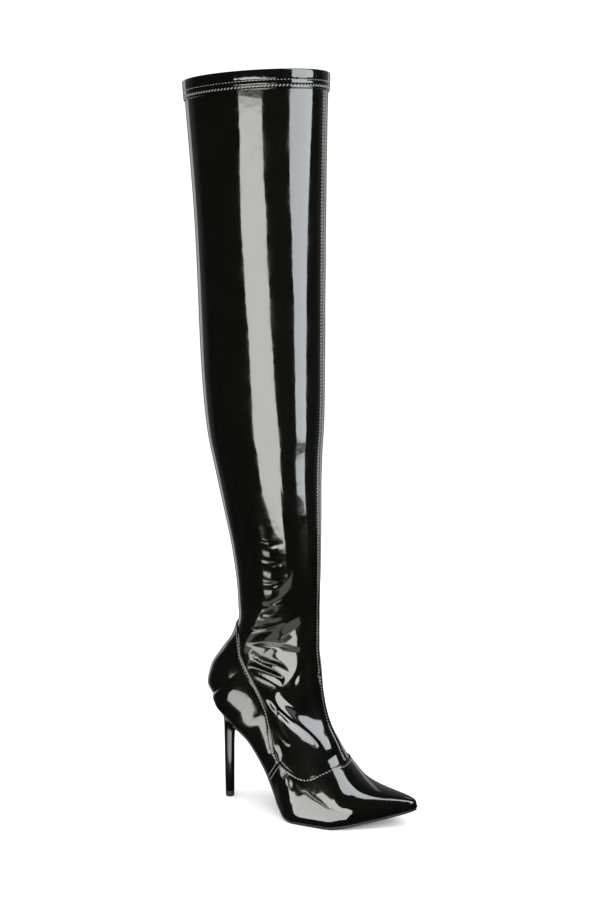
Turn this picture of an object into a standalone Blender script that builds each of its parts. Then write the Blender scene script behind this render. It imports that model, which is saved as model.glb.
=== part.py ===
"""Thigh-high stiletto boot for the right foot, in patent stretch material.

Metres, +Z up. +X points to the toe and +Y to the inner side of the foot. The origin
is the middle of the heel tip's ground face, and the floor is at Z = 0.
"""

import math
from collections import namedtuple

import bmesh
import bpy
import numpy as np
from mathutils import Matrix, Vector

# Driving sizes of the boot

FOOT_LENGTH = 0.2187      # back of the heel to the tip of the toe, measured level
HEEL_SETBACK = 0.021      # back of the heel behind the centre of the heel tip
BALL_WIDTH = 0.0740       # across the ball of the foot
HEEL_RISE = 0.107         # back of the heel seat above the feather line at the ball
TOE_SPRING = 0.0160       # tip of the sole above the floor
INSTEP_RISE = 0.105       # sole to the top of the instep, across the foot's section
BOOT_HEIGHT = 0.7168      # floor to the front of the collar
COLLAR_DROP = 0.007       # the collar's back below its front
THIGH_DEPTH = 0.1395      # collar, front to back
THIGH_WIDTH = 0.115       # collar, side to side

# Materials and clearances

WALL = 0.0014             # upper
OVERLAY = 0.0010          # vamp and counter, on top of the upper
HEM = 0.0009              # each layer of the cuff
GAP = 0.0003              # between pieces that lie on each other
SKIRT = 0.0001            # lower edge of the overlays above the feather line
OUTSOLE = 0.0027
INSOLE = 0.0020
SOLE_EDGE = 0.0017        # the sole's edge outside the feather line

CUFF_HEIGHT = 0.0160
CUFF_INSIDE = 0.0130
SEAM_WIDTH = 0.0030
BAND_WIDTH = 0.0076
SEAM_THICKNESS = 0.0008

HEEL_TIP_HEIGHT = 0.0060
HEEL_TIP_WIDTH = 0.0092
STEM_WIDTH = 0.0118       # heel stem just under the cup

ZIP_TOP = 0.322           # top of the slot above the floor
ZIP_BOTTOM = 0.046
ZIP_TOP_X = 0.054
ZIP_BOTTOM_X = 0.062
SLOT_WIDTH = 0.0095
TAPE_WIDTH = 0.0230
TAPE = 0.0008
COIL_WIDTH = 0.0050
COIL = 0.0016

SLIDER_WIDTH = 0.0082
SLIDER_HEIGHT = 0.0100
SLIDER_THICKNESS = 0.0024
EAR = 0.0009              # each of the slider's two ears
PIN_RADIUS = 0.0007
PIN_STAND = 0.0022        # the pin's axis above the slider's face
EYE_RADIUS = 0.0018       # ring of the pull tab round the pin
PULL_LENGTH = 0.0240
PULL_WIDTH = 0.0052
PULL_THICKNESS = 0.0011

SEAT_FEATHER_HEIGHT = OUTSOLE + GAP
INNER_SIDE = (0.05 * BALL_WIDTH, THIGH_WIDTH)    # the Y that cutters there start and end at

# Sections of the foot, from the toe to the ankle. Each lies in a plane through a low
# point on the sole or the back of the heel and a high point on the instep.
# sole, top: shares of FOOT_LENGTH, from the back of the heel
# lift, spring, up: the low point's height, as shares of HEEL_RISE, TOE_SPRING, INSTEP_RISE
# rise: high point above the low point, as a share of INSTEP_RISE
# half, feather, swing: widest half, half at the feather line and centre, of BALL_WIDTH
# at: where the widest place lies, from the low point to the high one
# arch: the inner feather line as a share of the outer one
# ridge, blunt: how sharply the section narrows at the top and at the back
# shut: 1 where the section is closed at its low point

Section = namedtuple(
    "Section", "sole lift spring up top rise half at feather swing arch ridge blunt shut")

FOOT_SECTIONS = [
    Section(0.9992, 0, 1.00, 0, 0.9998, 0.029, 0.018, 0.40, 0.017, 0.068, 1.00, 0.90, 0.8, 0),
    Section(0.9955, 0, 0.99, 0, 0.998, 0.044, 0.039, 0.40, 0.037, 0.068, 1.00, 0.90, 0.8, 0),
    Section(0.984, 0, 0.95, 0, 0.991, 0.070, 0.073, 0.40, 0.070, 0.067, 1.00, 0.90, 0.8, 0),
    Section(0.951, 0, 0.83, 0, 0.962, 0.108, 0.133, 0.33, 0.129, 0.064, 1.00, 0.92, 0.8, 0),
    Section(0.886, 0, 0.61, 0, 0.906, 0.166, 0.230, 0.29, 0.220, 0.046, 1.00, 0.95, 0.8, 0),
    Section(0.804, 0, 0.36, 0, 0.831, 0.238, 0.350, 0.25, 0.334, 0.020, 1.00, 0.97, 0.8, 0),
    Section(0.718, 0, 0.11, 0, 0.757, 0.345, 0.450, 0.22, 0.427, -0.010, 1.00, 1.00, 0.8, 0),
    Section(0.645, 0, 0.00, 0, 0.692, 0.506, 0.500, 0.20, 0.474, -0.026, 1.00, 1.05, 0.8, 0),
    Section(0.497, 0, 0.00, 0, 0.639, 0.708, 0.503, 0.20, 0.478, -0.028, 0.98, 1.12, 0.8, 0),
    Section(0.452, 0.016, 0, 0, 0.602, 0.840, 0.482, 0.24, 0.448, -0.024, 0.93, 1.20, 0.8, 0),
    Section(0.411, 0.083, 0, 0, 0.575, 0.945, 0.447, 0.31, 0.366, -0.014, 0.88, 1.22, 0.8, 0),
    Section(0.368, 0.222, 0, 0, 0.558, 1.000, 0.424, 0.39, 0.290, -0.006, 0.88, 1.18, 0.8, 0),
    Section(0.318, 0.411, 0, 0, 0.549, 1.000, 0.421, 0.45, 0.265, 0.000, 0.92, 1.12, 0.8, 0),
    Section(0.245, 0.630, 0, 0, 0.541, 0.950, 0.429, 0.45, 0.262, 0.000, 0.97, 1.06, 0.8, 0),
    Section(0.159, 0.795, 0, 0, 0.541, 0.925, 0.434, 0.43, 0.300, 0.000, 1.00, 1.02, 0.8, 0.1),
    Section(0.091, 0.914, 0, 0, 0.542, 0.930, 0.437, 0.43, 0.298, 0.000, 1.00, 1.00, 0.80, 0.5),
    Section(0.065, 0.959, 0, 0, 0.542, 0.944, 0.438, 0.44, 0.235, 0.000, 1.00, 1.00, 0.78, 0.8),
    Section(0.048, 0.987, 0, 0, 0.542, 0.950, 0.439, 0.45, 0.125, 0.000, 1.00, 1.00, 0.78, 1),
    Section(0.037, 1.000, 0, 0.006, 0.542, 0.945, 0.440, 0.45, 0.0, 0.000, 1.00, 1.00, 0.78, 1),
    Section(0.009, 1.000, 0, 0.115, 0.543, 0.910, 0.444, 0.46, 0.0, 0.000, 1.00, 1.00, 0.78, 1),
    Section(0.027, 1.000, 0, 0.285, 0.543, 0.820, 0.455, 0.48, 0.0, 0.000, 1.00, 1.00, 0.82, 1),
    Section(0.079, 1.000, 0, 0.457, 0.543, 0.752, 0.464, 0.50, 0.0, 0.000, 1.00, 1.00, 0.90, 1),
    Section(0.138, 1.000, 0, 0.630, 0.543, 0.685, 0.478, 0.50, 0.0, 0.000, 1.00, 1.00, 0.95, 1),
    Section(0.163, 1.000, 0, 0.820, 0.543, 0.619, 0.492, 0.50, 0.0, 0.000, 1.00, 1.00, 1.00, 1),
]

# Sections of the shaft, from above the ankle to the collar.
# back_level, front_level: shares of the height from the last foot section to the collar
# back, front: distance behind and before the front of the ankle, of THIGH_DEPTH
# half: widest half, of THIGH_WIDTH

Ring = namedtuple("Ring", "back_level front_level back front half")

SHAFT_SECTIONS = [
    Ring(0.056, 0.160, 0.603, 0.000, 0.334),
    Ring(0.130, 0.206, 0.636, -0.002, 0.362),
    Ring(0.212, 0.259, 0.697, -0.004, 0.397),
    Ring(0.291, 0.315, 0.762, 0.000, 0.424),
    Ring(0.362, 0.370, 0.815, 0.012, 0.445),
    Ring(0.445, 0.447, 0.846, 0.017, 0.460),
    Ring(0.560, 0.560, 0.866, 0.018, 0.472),
    Ring(0.680, 0.680, 0.880, 0.019, 0.482),
    Ring(0.800, 0.800, 0.902, 0.022, 0.491),
    Ring(0.900, 0.901, 0.932, 0.028, 0.496),
    Ring(0.966, 0.969, 0.953, 0.034, 0.499),
    Ring(1.000, 1.000, 0.963, 0.037, 0.500),
]

FOOT_END = len(FOOT_SECTIONS) - 1
COLLAR = len(FOOT_SECTIONS) + len(SHAFT_SECTIONS) - 1
COLUMNS = 28              # around a section, from one feather line to the other

# The heel from the seat down to the stem.
# back_height, front_height: shares of the seat's height at its back and at the breast
# back, front, side: 1 reaches as far as the seat, 0 only as far as the stem
# round: 0 keeps the seat's outline, 1 is an ellipse

Flare = namedtuple("Flare", "back_height front_height back front side round")

HEEL_FLARES = [
    Flare(0.964, 0.974, 0.76, 0.73, 0.82, 0.35),
    Flare(0.915, 0.925, 0.42, 0.52, 0.51, 0.70),
    Flare(0.860, 0.880, 0.18, 0.28, 0.26, 1),
    Flare(0.780, 0.840, 0.05, 0.12, 0.10, 1),
    Flare(0.690, 0.780, 0.00, 0.03, 0.02, 1),
    Flare(0.560, 0.680, 0.00, 0.00, 0.00, 1),
    Flare(0.320, 0.410, 0.00, 0.00, 0.00, 1),
]
BREAST = 0.166            # front of the heel seat, as a share of FOOT_LENGTH
SEAT_POINTS = 23          # round the seat's edge
BREAST_POINTS = 7         # across the breast

# Seams seen from the side: length as a share of FOOT_LENGTH from the back of the heel,
# height above the ball's feather line as a share of HEEL_RISE. All end where the vamp
# and the counter meet on the side of the foot.

VAMP_SEAM = [
    (0.726, 0.600), (0.690, 0.514), (0.670, 0.519), (0.639, 0.502), (0.608, 0.471),
    (0.580, 0.438), (0.548, 0.420), (0.514, 0.424), (0.480, 0.446), (0.444, 0.480),
    (0.413, 0.512),
]
COUNTER_SEAM = [
    (-0.101, 1.780), (0.148, 1.760), (0.194, 1.740), (0.214, 1.690), (0.224, 1.600),
    (0.233, 1.467), (0.260, 1.353), (0.296, 1.227), (0.330, 1.100), (0.355, 0.984),
    (0.370, 0.837), (0.378, 0.674), (0.391, 0.583), (0.413, 0.512),
]
SIDE_SEAM_FOOT = 0.345    # where the side seam meets the sole, of FOOT_LENGTH
BAND_START = 7.2          # foot section where the band on the instep starts, under the vamp
BAND_END = 11.0           # and where it begins to narrow to the front seam


def foot_row(section):
    """Real sizes of a foot section: low x, low z, high x, high z and its widths."""
    low_x = section.sole * FOOT_LENGTH - HEEL_SETBACK
    low_z = (SEAT_FEATHER_HEIGHT + section.lift * HEEL_RISE + section.spring * TOE_SPRING
             + section.up * INSTEP_RISE)
    high_x = section.top * FOOT_LENGTH - HEEL_SETBACK
    high_z = low_z + section.rise * INSTEP_RISE
    return (low_x, low_z, high_x, high_z, section.half * BALL_WIDTH, section.at,
            section.feather * BALL_WIDTH, section.swing * BALL_WIDTH, section.arch,
            section.ridge, section.blunt, section.shut)


def shaft_row(ring, ankle):
    """Real sizes of a shaft section, which stands on the last foot section."""
    front_x, base = ankle[2], ankle[1]
    low_z = base + ring.back_level * (BOOT_HEIGHT - COLLAR_DROP - base)
    high_z = base + ring.front_level * (BOOT_HEIGHT - base)
    return (front_x - ring.back * THIGH_DEPTH, low_z, front_x + ring.front * THIGH_DEPTH,
            high_z, ring.half * THIGH_WIDTH, 0.5, 0, 0, 1, 1, 1, 1)


def section_rows():
    """All key sections, toe to collar, one row each."""
    rows = [foot_row(section) for section in FOOT_SECTIONS]
    rows += [shaft_row(ring, rows[FOOT_END]) for ring in SHAFT_SECTIONS]
    return np.array(rows)


def smooth_slopes(rows):
    """Slopes at evenly spaced rows for a curve that never overshoots them."""
    steps = np.diff(rows, axis=0)
    before, after = steps[:-1], steps[1:]
    same = before * after > 0
    mean = 2 * before * after / np.where(same, before + after, 1)
    return np.vstack([steps[:1], np.where(same, mean, 0), steps[-1:]])


ROWS = section_rows()
SLOPES = smooth_slopes(ROWS)


def rows_at(stations):
    """The section sizes at any places between the key sections, by cubic curves."""
    stations = np.clip(np.asarray(stations, dtype=float), 0, COLLAR)
    first = np.minimum(stations.astype(int), COLLAR - 1)
    part = (stations - first)[..., None]
    near, far = ROWS[first], ROWS[first + 1]
    return (near * (1 + 2 * part) * (1 - part) ** 2 + SLOPES[first] * part * (1 - part) ** 2
            + far * part ** 2 * (3 - 2 * part) + SLOPES[first + 1] * part ** 2 * (part - 1))


def surface(stations, around):
    """Points of the upper's outer face.

    around runs from -1 at the outer feather line over 0 at the top to 1 at the inner one.
    """
    stations, around = np.broadcast_arrays(stations, around)
    row = np.moveaxis(rows_at(stations), -1, 0)
    low_x, low_z, high_x, high_z, half, at, feather, swing, arch, ridge, blunt, shut = row
    turn = np.abs(around) * math.pi
    cosine = np.abs(np.cos(turn))
    sine = np.abs(np.sin(turn))
    feather = feather * np.where(around > 0, arch, 1)
    above = np.abs(around) <= 0.5
    tuck = np.clip(np.abs(around) * 2 - 1, 0, 1)
    wall_height = at * (1 - tuck)
    wall_width = feather + (half - feather) * (1 - tuck ** 2)
    round_height = at * (1 - cosine)
    round_width = feather + (half - feather) * sine ** blunt
    height = np.where(above, at + (1 - at) * cosine,
                      wall_height + (round_height - wall_height) * shut)
    width = np.where(above, half * sine ** ridge,
                     wall_width + (round_width - wall_width) * shut)
    x = low_x + (high_x - low_x) * height
    z = low_z + (high_z - low_z) * height
    y = swing + np.sign(around) * width
    return np.stack([x, y, z], axis=-1)


def outward(stations, around, step=0.002):
    """Unit normals of the upper's outer face, by differences."""
    across = surface(stations, around + step) - surface(stations, around - step)
    along = (surface(np.minimum(stations + step, COLLAR), around)
             - surface(np.maximum(stations - step, 0), around))
    normal = np.cross(across, along)
    return normal / np.linalg.norm(normal, axis=-1, keepdims=True)


def grid_stations():
    """Rows of the upper's mesh: twice as close on the instep and the waist."""
    return np.concatenate([np.arange(0, 6), np.arange(6, 11, 0.5), np.arange(11, COLLAR + 1)])


STATIONS = grid_stations()
AROUND = np.linspace(-1, 1, COLUMNS + 1)


def collection(name):
    made = bpy.data.collections.new(name)
    bpy.context.scene.collection.children.link(made)
    return made


def start():
    """An empty scene with a collection for the boot and one for the cutters."""
    for item in list(bpy.data.objects):
        bpy.data.objects.remove(item, do_unlink=True)
    return collection("thigh_high_boot"), collection("cutters")


BOOT, CUTTERS = start()


def material(name, colour, roughness, metallic=0.0, coat=0.0):
    made = bpy.data.materials.new(name)
    made.use_nodes = True
    shader = made.node_tree.nodes["Principled BSDF"]
    shader.inputs["Base Color"].default_value = (*colour, 1)
    shader.inputs["Roughness"].default_value = roughness
    shader.inputs["Metallic"].default_value = metallic
    shader.inputs["Coat Weight"].default_value = coat
    return made


PATENT = material("black_patent", (0.006, 0.007, 0.005), 0.12, coat=1.0)
HEEL_BLACK = material("heel_black", (0.006, 0.007, 0.005), 0.12, coat=1.0)
SOLE_BLACK = material("sole_black", (0.010, 0.010, 0.009), 0.45)
LINING = material("insole_fabric", (0.030, 0.029, 0.027), 0.85)
RUBBER = material("heel_tip_rubber", (0.012, 0.012, 0.012), 0.60)
TAPE_BLACK = material("zip_tape_black", (0.012, 0.012, 0.012), 0.80)
METAL_BLACK = material("zip_metal_black", (0.030, 0.030, 0.030), 0.30, metallic=1.0)


def place(name, mesh, finish, where=BOOT):
    """An object for the mesh, shaded smooth up to sharp edges."""
    item = bpy.data.objects.new(name, mesh)
    where.objects.link(item)
    if finish is not None:
        mesh.materials.append(finish)
        mesh.shade_smooth()
        mesh.set_sharp_from_angle(angle=math.radians(40))
    return item


def new_mesh(name, build):
    """A mesh from a function that fills a bmesh."""
    shape = bmesh.new()
    build(shape)
    bmesh.ops.recalc_face_normals(shape, faces=shape.faces)
    mesh = bpy.data.meshes.new(name)
    shape.to_mesh(mesh)
    shape.free()
    return mesh


def prism(name, outline, near, far):
    """A closed cutter: an outline in X and Z, from one Y to another."""
    def build(shape):
        front = [shape.verts.new((x, near, z)) for x, z in outline]
        face = shape.faces.new(front)
        pushed = bmesh.ops.extrude_face_region(shape, geom=[face])["geom"]
        moved = [item for item in pushed if isinstance(item, bmesh.types.BMVert)]
        bmesh.ops.translate(shape, verts=moved, vec=(0, far - near, 0))
    cutter = place(name, new_mesh(name, build), None, CUTTERS)
    cutter.hide_render = True
    cutter.display_type = "WIRE"
    return cutter


def boolean(item, operation, other):
    step = item.modifiers.new(other.name, "BOOLEAN")
    step.operation = operation
    step.object = other
    step.solver = "EXACT"


def thicken(item, thickness, outwards):
    step = item.modifiers.new("wall", "SOLIDIFY")
    step.thickness = thickness
    step.offset = 1 if outwards else -1
    step.use_even_offset = True


def split(ring):
    """The four corners of a cell as two triangles, along its shorter diagonal."""
    one = (ring[0].co - ring[2].co).length
    other = (ring[1].co - ring[3].co).length
    turn = 0 if one <= other else 1
    ring = ring[turn:] + ring[:turn]
    halves = [[ring[0], ring[1], ring[2]], [ring[0], ring[2], ring[3]]]
    return [half for half in halves if len(set(half)) == 3]


def skin(shape, offset=0.0, first=0, last=None):
    """The upper's outer face as a grid, moved outward by the offset.

    Rows past the heel seat are closed at the back, and the toe is capped.
    """
    last = len(STATIONS) if last is None else last
    points = surface(STATIONS[:, None], AROUND[None, :])
    closed = rows_at(STATIONS)[:, 6] <= 0
    grid = []
    for row, shut in zip(points, closed):
        line = [shape.verts.new(point) for point in row]
        if shut:
            shape.verts.remove(line[-1])
            line[-1] = line[0]
        grid.append(line)
    faces = []
    for index in range(len(grid) - 1):
        low, high = grid[index], grid[index + 1]
        for near in range(COLUMNS):
            ring = [low[near], low[near + 1], high[near + 1], high[near]]
            for corners in split(ring):
                faces.append((index, shape.faces.new(corners)))
    cap = shape.faces.new(grid[0][::-1])
    bmesh.ops.recalc_face_normals(shape, faces=shape.faces)
    shape.normal_update()
    moved = [(vert, vert.co + vert.normal * vert.calc_shell_factor() * offset)
             for vert in shape.verts]
    for vert, spot in moved:
        vert.co = spot
    outside = [face for index, face in faces if not first <= index < last]
    if first > 0:
        outside.append(cap)
    bmesh.ops.delete(shape, geom=outside, context="FACES")


def shell(name, finish, offset, thickness, outwards=True, first=0, last=None):
    """A wall that follows the upper's outer face."""
    mesh = bpy.data.meshes.new(name)
    shape = bmesh.new()
    skin(shape, offset, first, last)
    shape.to_mesh(mesh)
    shape.free()
    item = place(name, mesh, finish)
    thicken(item, thickness, outwards)
    return item


def feather_line(first, last, raised):
    """Points of the feather line seen from the side, from the toe backwards."""
    inside = STATIONS[(STATIONS > first) & (STATIONS < last)]
    rows = rows_at(np.concatenate([[first], inside, [last]]))
    return [(row[0], row[1] + raised) for row in rows]


def seam_points(seam):
    return [(length * FOOT_LENGTH - HEEL_SETBACK, SEAT_FEATHER_HEIGHT + height * HEEL_RISE)
            for length, height in seam]


def zip_outline(width, low, high, behind=0.0, ahead=0.0):
    """The zip's strip seen from the side, as four corners, made wider on either side."""
    lean = (ZIP_TOP_X - ZIP_BOTTOM_X) / (ZIP_TOP - ZIP_BOTTOM)
    def middle(height):
        return ZIP_BOTTOM_X + lean * (height - ZIP_BOTTOM)
    back, front = width / 2 + behind, width / 2 + ahead
    return [(middle(low) - back, low), (middle(low) + front, low),
            (middle(high) + front, high), (middle(high) - back, high)]


SEAT_BACK = next(index for index, section in enumerate(FOOT_SECTIONS)
                 if section.feather == 0)


class Sole:
    """The surface under the foot, unrolled from the toe to the back of the seat.

    It has the upper's own rows, so that plates on it lie along the upper's facets.
    """

    def __init__(self):
        rows = rows_at(STATIONS[STATIONS <= SEAT_BACK])
        self.middle = rows[:, :2]
        steps = np.linalg.norm(np.diff(self.middle, axis=0), axis=1)
        self.length = np.concatenate([[0], np.cumsum(steps)])
        self.outer = rows[:, 7] - rows[:, 6]
        self.inner = rows[:, 7] + rows[:, 6] * rows[:, 8]
        self.swing = rows[:, 7]

    def length_at(self, x):
        """Length from the toe where the sole has this X."""
        return np.interp(-x, -self.middle[:, 0], self.length)

    def spot(self, length, drop=0.0):
        """X and Z on the sole, moved down from it by the drop."""
        reach, half = 4 * OUTSOLE, 0.2 * OUTSOLE
        first = self.middle[0] * 2 - self.middle[1]
        ahead = self.middle[0] + (first - self.middle[0]) / np.linalg.norm(
            first - self.middle[0]) * reach
        last = self.middle[-1] * 2 - self.middle[-2]
        behind = self.middle[-1] + (last - self.middle[-1]) / np.linalg.norm(
            last - self.middle[-1]) * reach
        points = np.vstack([ahead, self.middle, behind])
        lengths = np.concatenate([[-reach], self.length, [self.length[-1] + reach]])
        def at(where):
            return np.array([np.interp(where, lengths, points[:, 0]),
                             np.interp(where, lengths, points[:, 1])])
        along = at(length + half) - at(length - half)
        along /= np.linalg.norm(along)
        return at(length) + drop * np.array([-along[1], along[0]])

    def sides(self, length, margin):
        """Outer and inner Y at a length, moved outward square to the edge."""
        found = []
        for edge, way in ((self.outer, -1), (self.inner, 1)):
            y = np.interp(length, self.length, edge)
            flare = np.gradient(edge, self.length)
            lean = np.interp(length, self.length, flare)
            found.append(y + way * margin * math.hypot(1, lean))
        return found


SOLE = Sole()


def sole_plate(name, finish, stations, drops):
    """A plate along the sole: stations are (length, outer Y, inner Y), drops its faces."""
    def build(shape):
        loops = []
        for length, outer, inner in stations:
            top, under = SOLE.spot(length, drops[0]), SOLE.spot(length, drops[1])
            loops.append([shape.verts.new((top[0], outer, top[1])),
                          shape.verts.new((top[0], inner, top[1])),
                          shape.verts.new((under[0], inner, under[1])),
                          shape.verts.new((under[0], outer, under[1]))])
        for near, far in zip(loops, loops[1:]):
            for side in range(4):
                following = (side + 1) % 4
                shape.faces.new([near[side], near[following], far[following], far[side]])
        shape.faces.new(loops[0])
        shape.faces.new(loops[-1][::-1])
    return place(name, new_mesh(name, build), finish)


def make_upper():
    """Foot and shaft in one hollow wall, with the zip's slot on the inner side."""
    upper = shell("upper", PATENT, 0, WALL, outwards=False)
    slot = prism("slot_cutter", zip_outline(SLOT_WIDTH, ZIP_BOTTOM, ZIP_TOP), *INNER_SIDE)
    boolean(upper, "DIFFERENCE", slot)
    return upper


def side_seam_station():
    """The section whose low point is where the side seam meets the sole."""
    stations = np.linspace(0, SEAT_BACK, 400)
    x = rows_at(stations)[:, 0]
    return float(np.interp(HEEL_SETBACK - SIDE_SEAM_FOOT * FOOT_LENGTH, -x, stations))


def clear_of_zip(overlay, behind=0.0, ahead=0.0):
    """End an overlay at the zip on the inner side of the foot."""
    outline = zip_outline(SLOT_WIDTH + 2 * OVERLAY, 0, ZIP_TOP, behind, ahead)
    boolean(overlay, "DIFFERENCE", prism("%s_zip_cutter" % overlay.name, outline, *INNER_SIDE))


def make_vamp():
    """The toe piece, over the front of the foot."""
    vamp = shell("vamp", PATENT, GAP, OVERLAY, first=0, last=grid_row(12))
    low = feather_line(0, side_seam_station(), SKIRT)
    low = [(x + GAP, z) for x, z in low]
    front = low[0][0] + 3 * OVERLAY
    outline = seam_points(VAMP_SEAM) + low[::-1] + [(front, low[0][1])]
    outline += [(front, SEAT_FEATHER_HEIGHT + VAMP_SEAM[0][1] * HEEL_RISE)]
    cutter = prism("vamp_cutter", outline, -BALL_WIDTH, BALL_WIDTH)
    boolean(vamp, "INTERSECT", cutter)
    clear_of_zip(vamp, behind=BALL_WIDTH)
    return vamp


def make_counter():
    """The heel piece, from the back of the ankle down to the seat."""
    counter = shell("counter", PATENT, GAP, OVERLAY, first=grid_row(8),
                    last=grid_row(FOOT_END + 2))
    low = feather_line(side_seam_station(), SEAT_BACK, SKIRT)
    behind = SOLE.spot(SOLE.length[-1] + 8 * OVERLAY)
    low += [(behind[0], behind[1] + SKIRT)]
    seam = seam_points(COUNTER_SEAM)
    cutter = prism("counter_cutter", seam + low, -BALL_WIDTH, BALL_WIDTH)
    boolean(counter, "INTERSECT", cutter)
    clear_of_zip(counter, ahead=BALL_WIDTH)
    return counter


def grid_row(station):
    """Index of a whole station in the upper's grid."""
    return int(np.argmin(np.abs(STATIONS - station)))


def swept(name, finish, profiles):
    """A closed ring: each profile is a list of points around the shaft."""
    def build(shape):
        rings = [[shape.verts.new(point) for point in profile] for profile in profiles]
        for near, far in zip(rings, rings[1:] + rings[:1]):
            count = len(near)
            for index in range(count):
                following = (index + 1) % count
                shape.faces.new([near[index], near[following], far[following], far[index]])
    return place(name, new_mesh(name, build), finish)


def make_cuff():
    """The turned hem: one layer outside, over the rim, and one inside."""
    around = AROUND[:-1]
    ring_height = ROWS[COLLAR, 3] - ROWS[COLLAR - 1, 3]
    outer, inner = GAP + HEM, WALL + GAP + HEM
    def ring(depth, offset, rise=0.0):
        station = np.full_like(around, COLLAR - depth / ring_height)
        points = surface(station, around) + outward(station, around) * offset
        return points + np.array([0, 0, rise])
    profiles = [
        ring(CUFF_HEIGHT, outer), ring(0, outer), ring(0, outer - HEM / 2, GAP + HEM),
        ring(0, HEM / 2 - inner, GAP + HEM), ring(0, -inner), ring(CUFF_INSIDE, -inner),
        ring(CUFF_INSIDE, -WALL - GAP), ring(0, -WALL - GAP, GAP), ring(0, GAP, GAP),
        ring(CUFF_HEIGHT, GAP),
    ]
    return swept("cuff", PATENT, profiles)


def make_front_seam():
    """The raised seam down the front, wider where it is a band on the instep."""
    cuff_edge = COLLAR - (CUFF_HEIGHT + 2 * GAP) / (ROWS[COLLAR, 3] - ROWS[COLLAR - 1, 3])
    inside = STATIONS[(STATIONS > BAND_START) & (STATIONS < cuff_edge)]
    stations = np.concatenate([[BAND_START], inside, [cuff_edge]])
    rows = rows_at(stations)
    fade = np.clip(BAND_END + 1 - stations, 0, 1)
    width = SEAM_WIDTH + (BAND_WIDTH - SEAM_WIDTH) * fade
    reach = (width / 2 / rows[:, 4]) ** (1 / rows[:, 9]) / math.pi
    def build(shape):
        grid = []
        for station, far in zip(stations, reach):
            around = np.linspace(-far, far, 3)
            spots = np.full(3, station)
            points = surface(spots, around) + outward(spots, around) * GAP
            grid.append([shape.verts.new(point) for point in points])
        for near, far in zip(grid, grid[1:]):
            for index in range(2):
                shape.faces.new([near[index], near[index + 1], far[index + 1], far[index]])
    mesh = new_mesh("front_seam", build)
    if mesh.polygons[0].normal.x < 0:
        mesh.flip_normals()
    seam = place("front_seam", mesh, PATENT)
    thicken(seam, SEAM_THICKNESS, outwards=True)
    return seam


def make_outsole():
    """The thin sole from the toe to the heel's breast, flat under the ball."""
    breast = SOLE.length_at(BREAST * FOOT_LENGTH - HEEL_SETBACK)
    tip = SOLE.sides(0, 0)
    nose = 0.7 * SOLE_EDGE
    stations = [(-nose, tip[0] - nose, tip[1] + nose)]
    lengths = np.append(SOLE.length[SOLE.length < breast - 2 * GAP], breast - GAP)
    stations += [(length, *SOLE.sides(length, SOLE_EDGE)) for length in lengths]
    return sole_plate("outsole", SOLE_BLACK, stations, (GAP, GAP + OUTSOLE))


def make_insole():
    """The inner sole, clear of the upper's wall all round."""
    inset = -(1.2 * WALL + 2 * GAP)
    start, end = 3 * INSOLE, SOLE.length[-1] + 1.3 * inset
    inside = SOLE.length[(SOLE.length > start) & (SOLE.length < end)]
    lengths = np.concatenate([[start], inside, [end]])
    stations = [(length, *SOLE.sides(length, inset)) for length in lengths]
    return sole_plate("insole", LINING, stations, (-INSOLE, 0))


def seat_outline():
    """The heel's top, round the seat from the outer breast corner to the inner one."""
    breast = SOLE.length_at(BREAST * FOOT_LENGTH - HEEL_SETBACK)
    inside = SOLE.length >= breast
    length = np.concatenate([[breast], SOLE.length[inside]])
    half = np.interp(length, SOLE.length, (SOLE.inner - SOLE.outer) / 2)
    run = np.concatenate([length, length[-2::-1]])
    side = np.concatenate([-half, half[-2::-1]])
    tangent = np.stack([np.gradient(run), np.gradient(side)], axis=-1)
    tangent /= np.linalg.norm(tangent, axis=-1, keepdims=True)
    edge = np.stack([run, side], axis=-1)
    edge = edge + SOLE_EDGE * np.stack([tangent[:, 1], -tangent[:, 0]], axis=-1)
    edge[0, 0] = edge[-1, 0] = breast
    travelled = np.concatenate([[0], np.cumsum(np.linalg.norm(np.diff(edge, axis=0), axis=1))])
    even = np.linspace(0, travelled[-1], SEAT_POINTS)
    rim = np.stack([np.interp(even, travelled, edge[:, 0]),
                    np.interp(even, travelled, edge[:, 1])], axis=-1)
    front = np.linspace(rim[-1], rim[0], BREAST_POINTS)[1:-1]
    return np.concatenate([rim, front])


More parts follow.
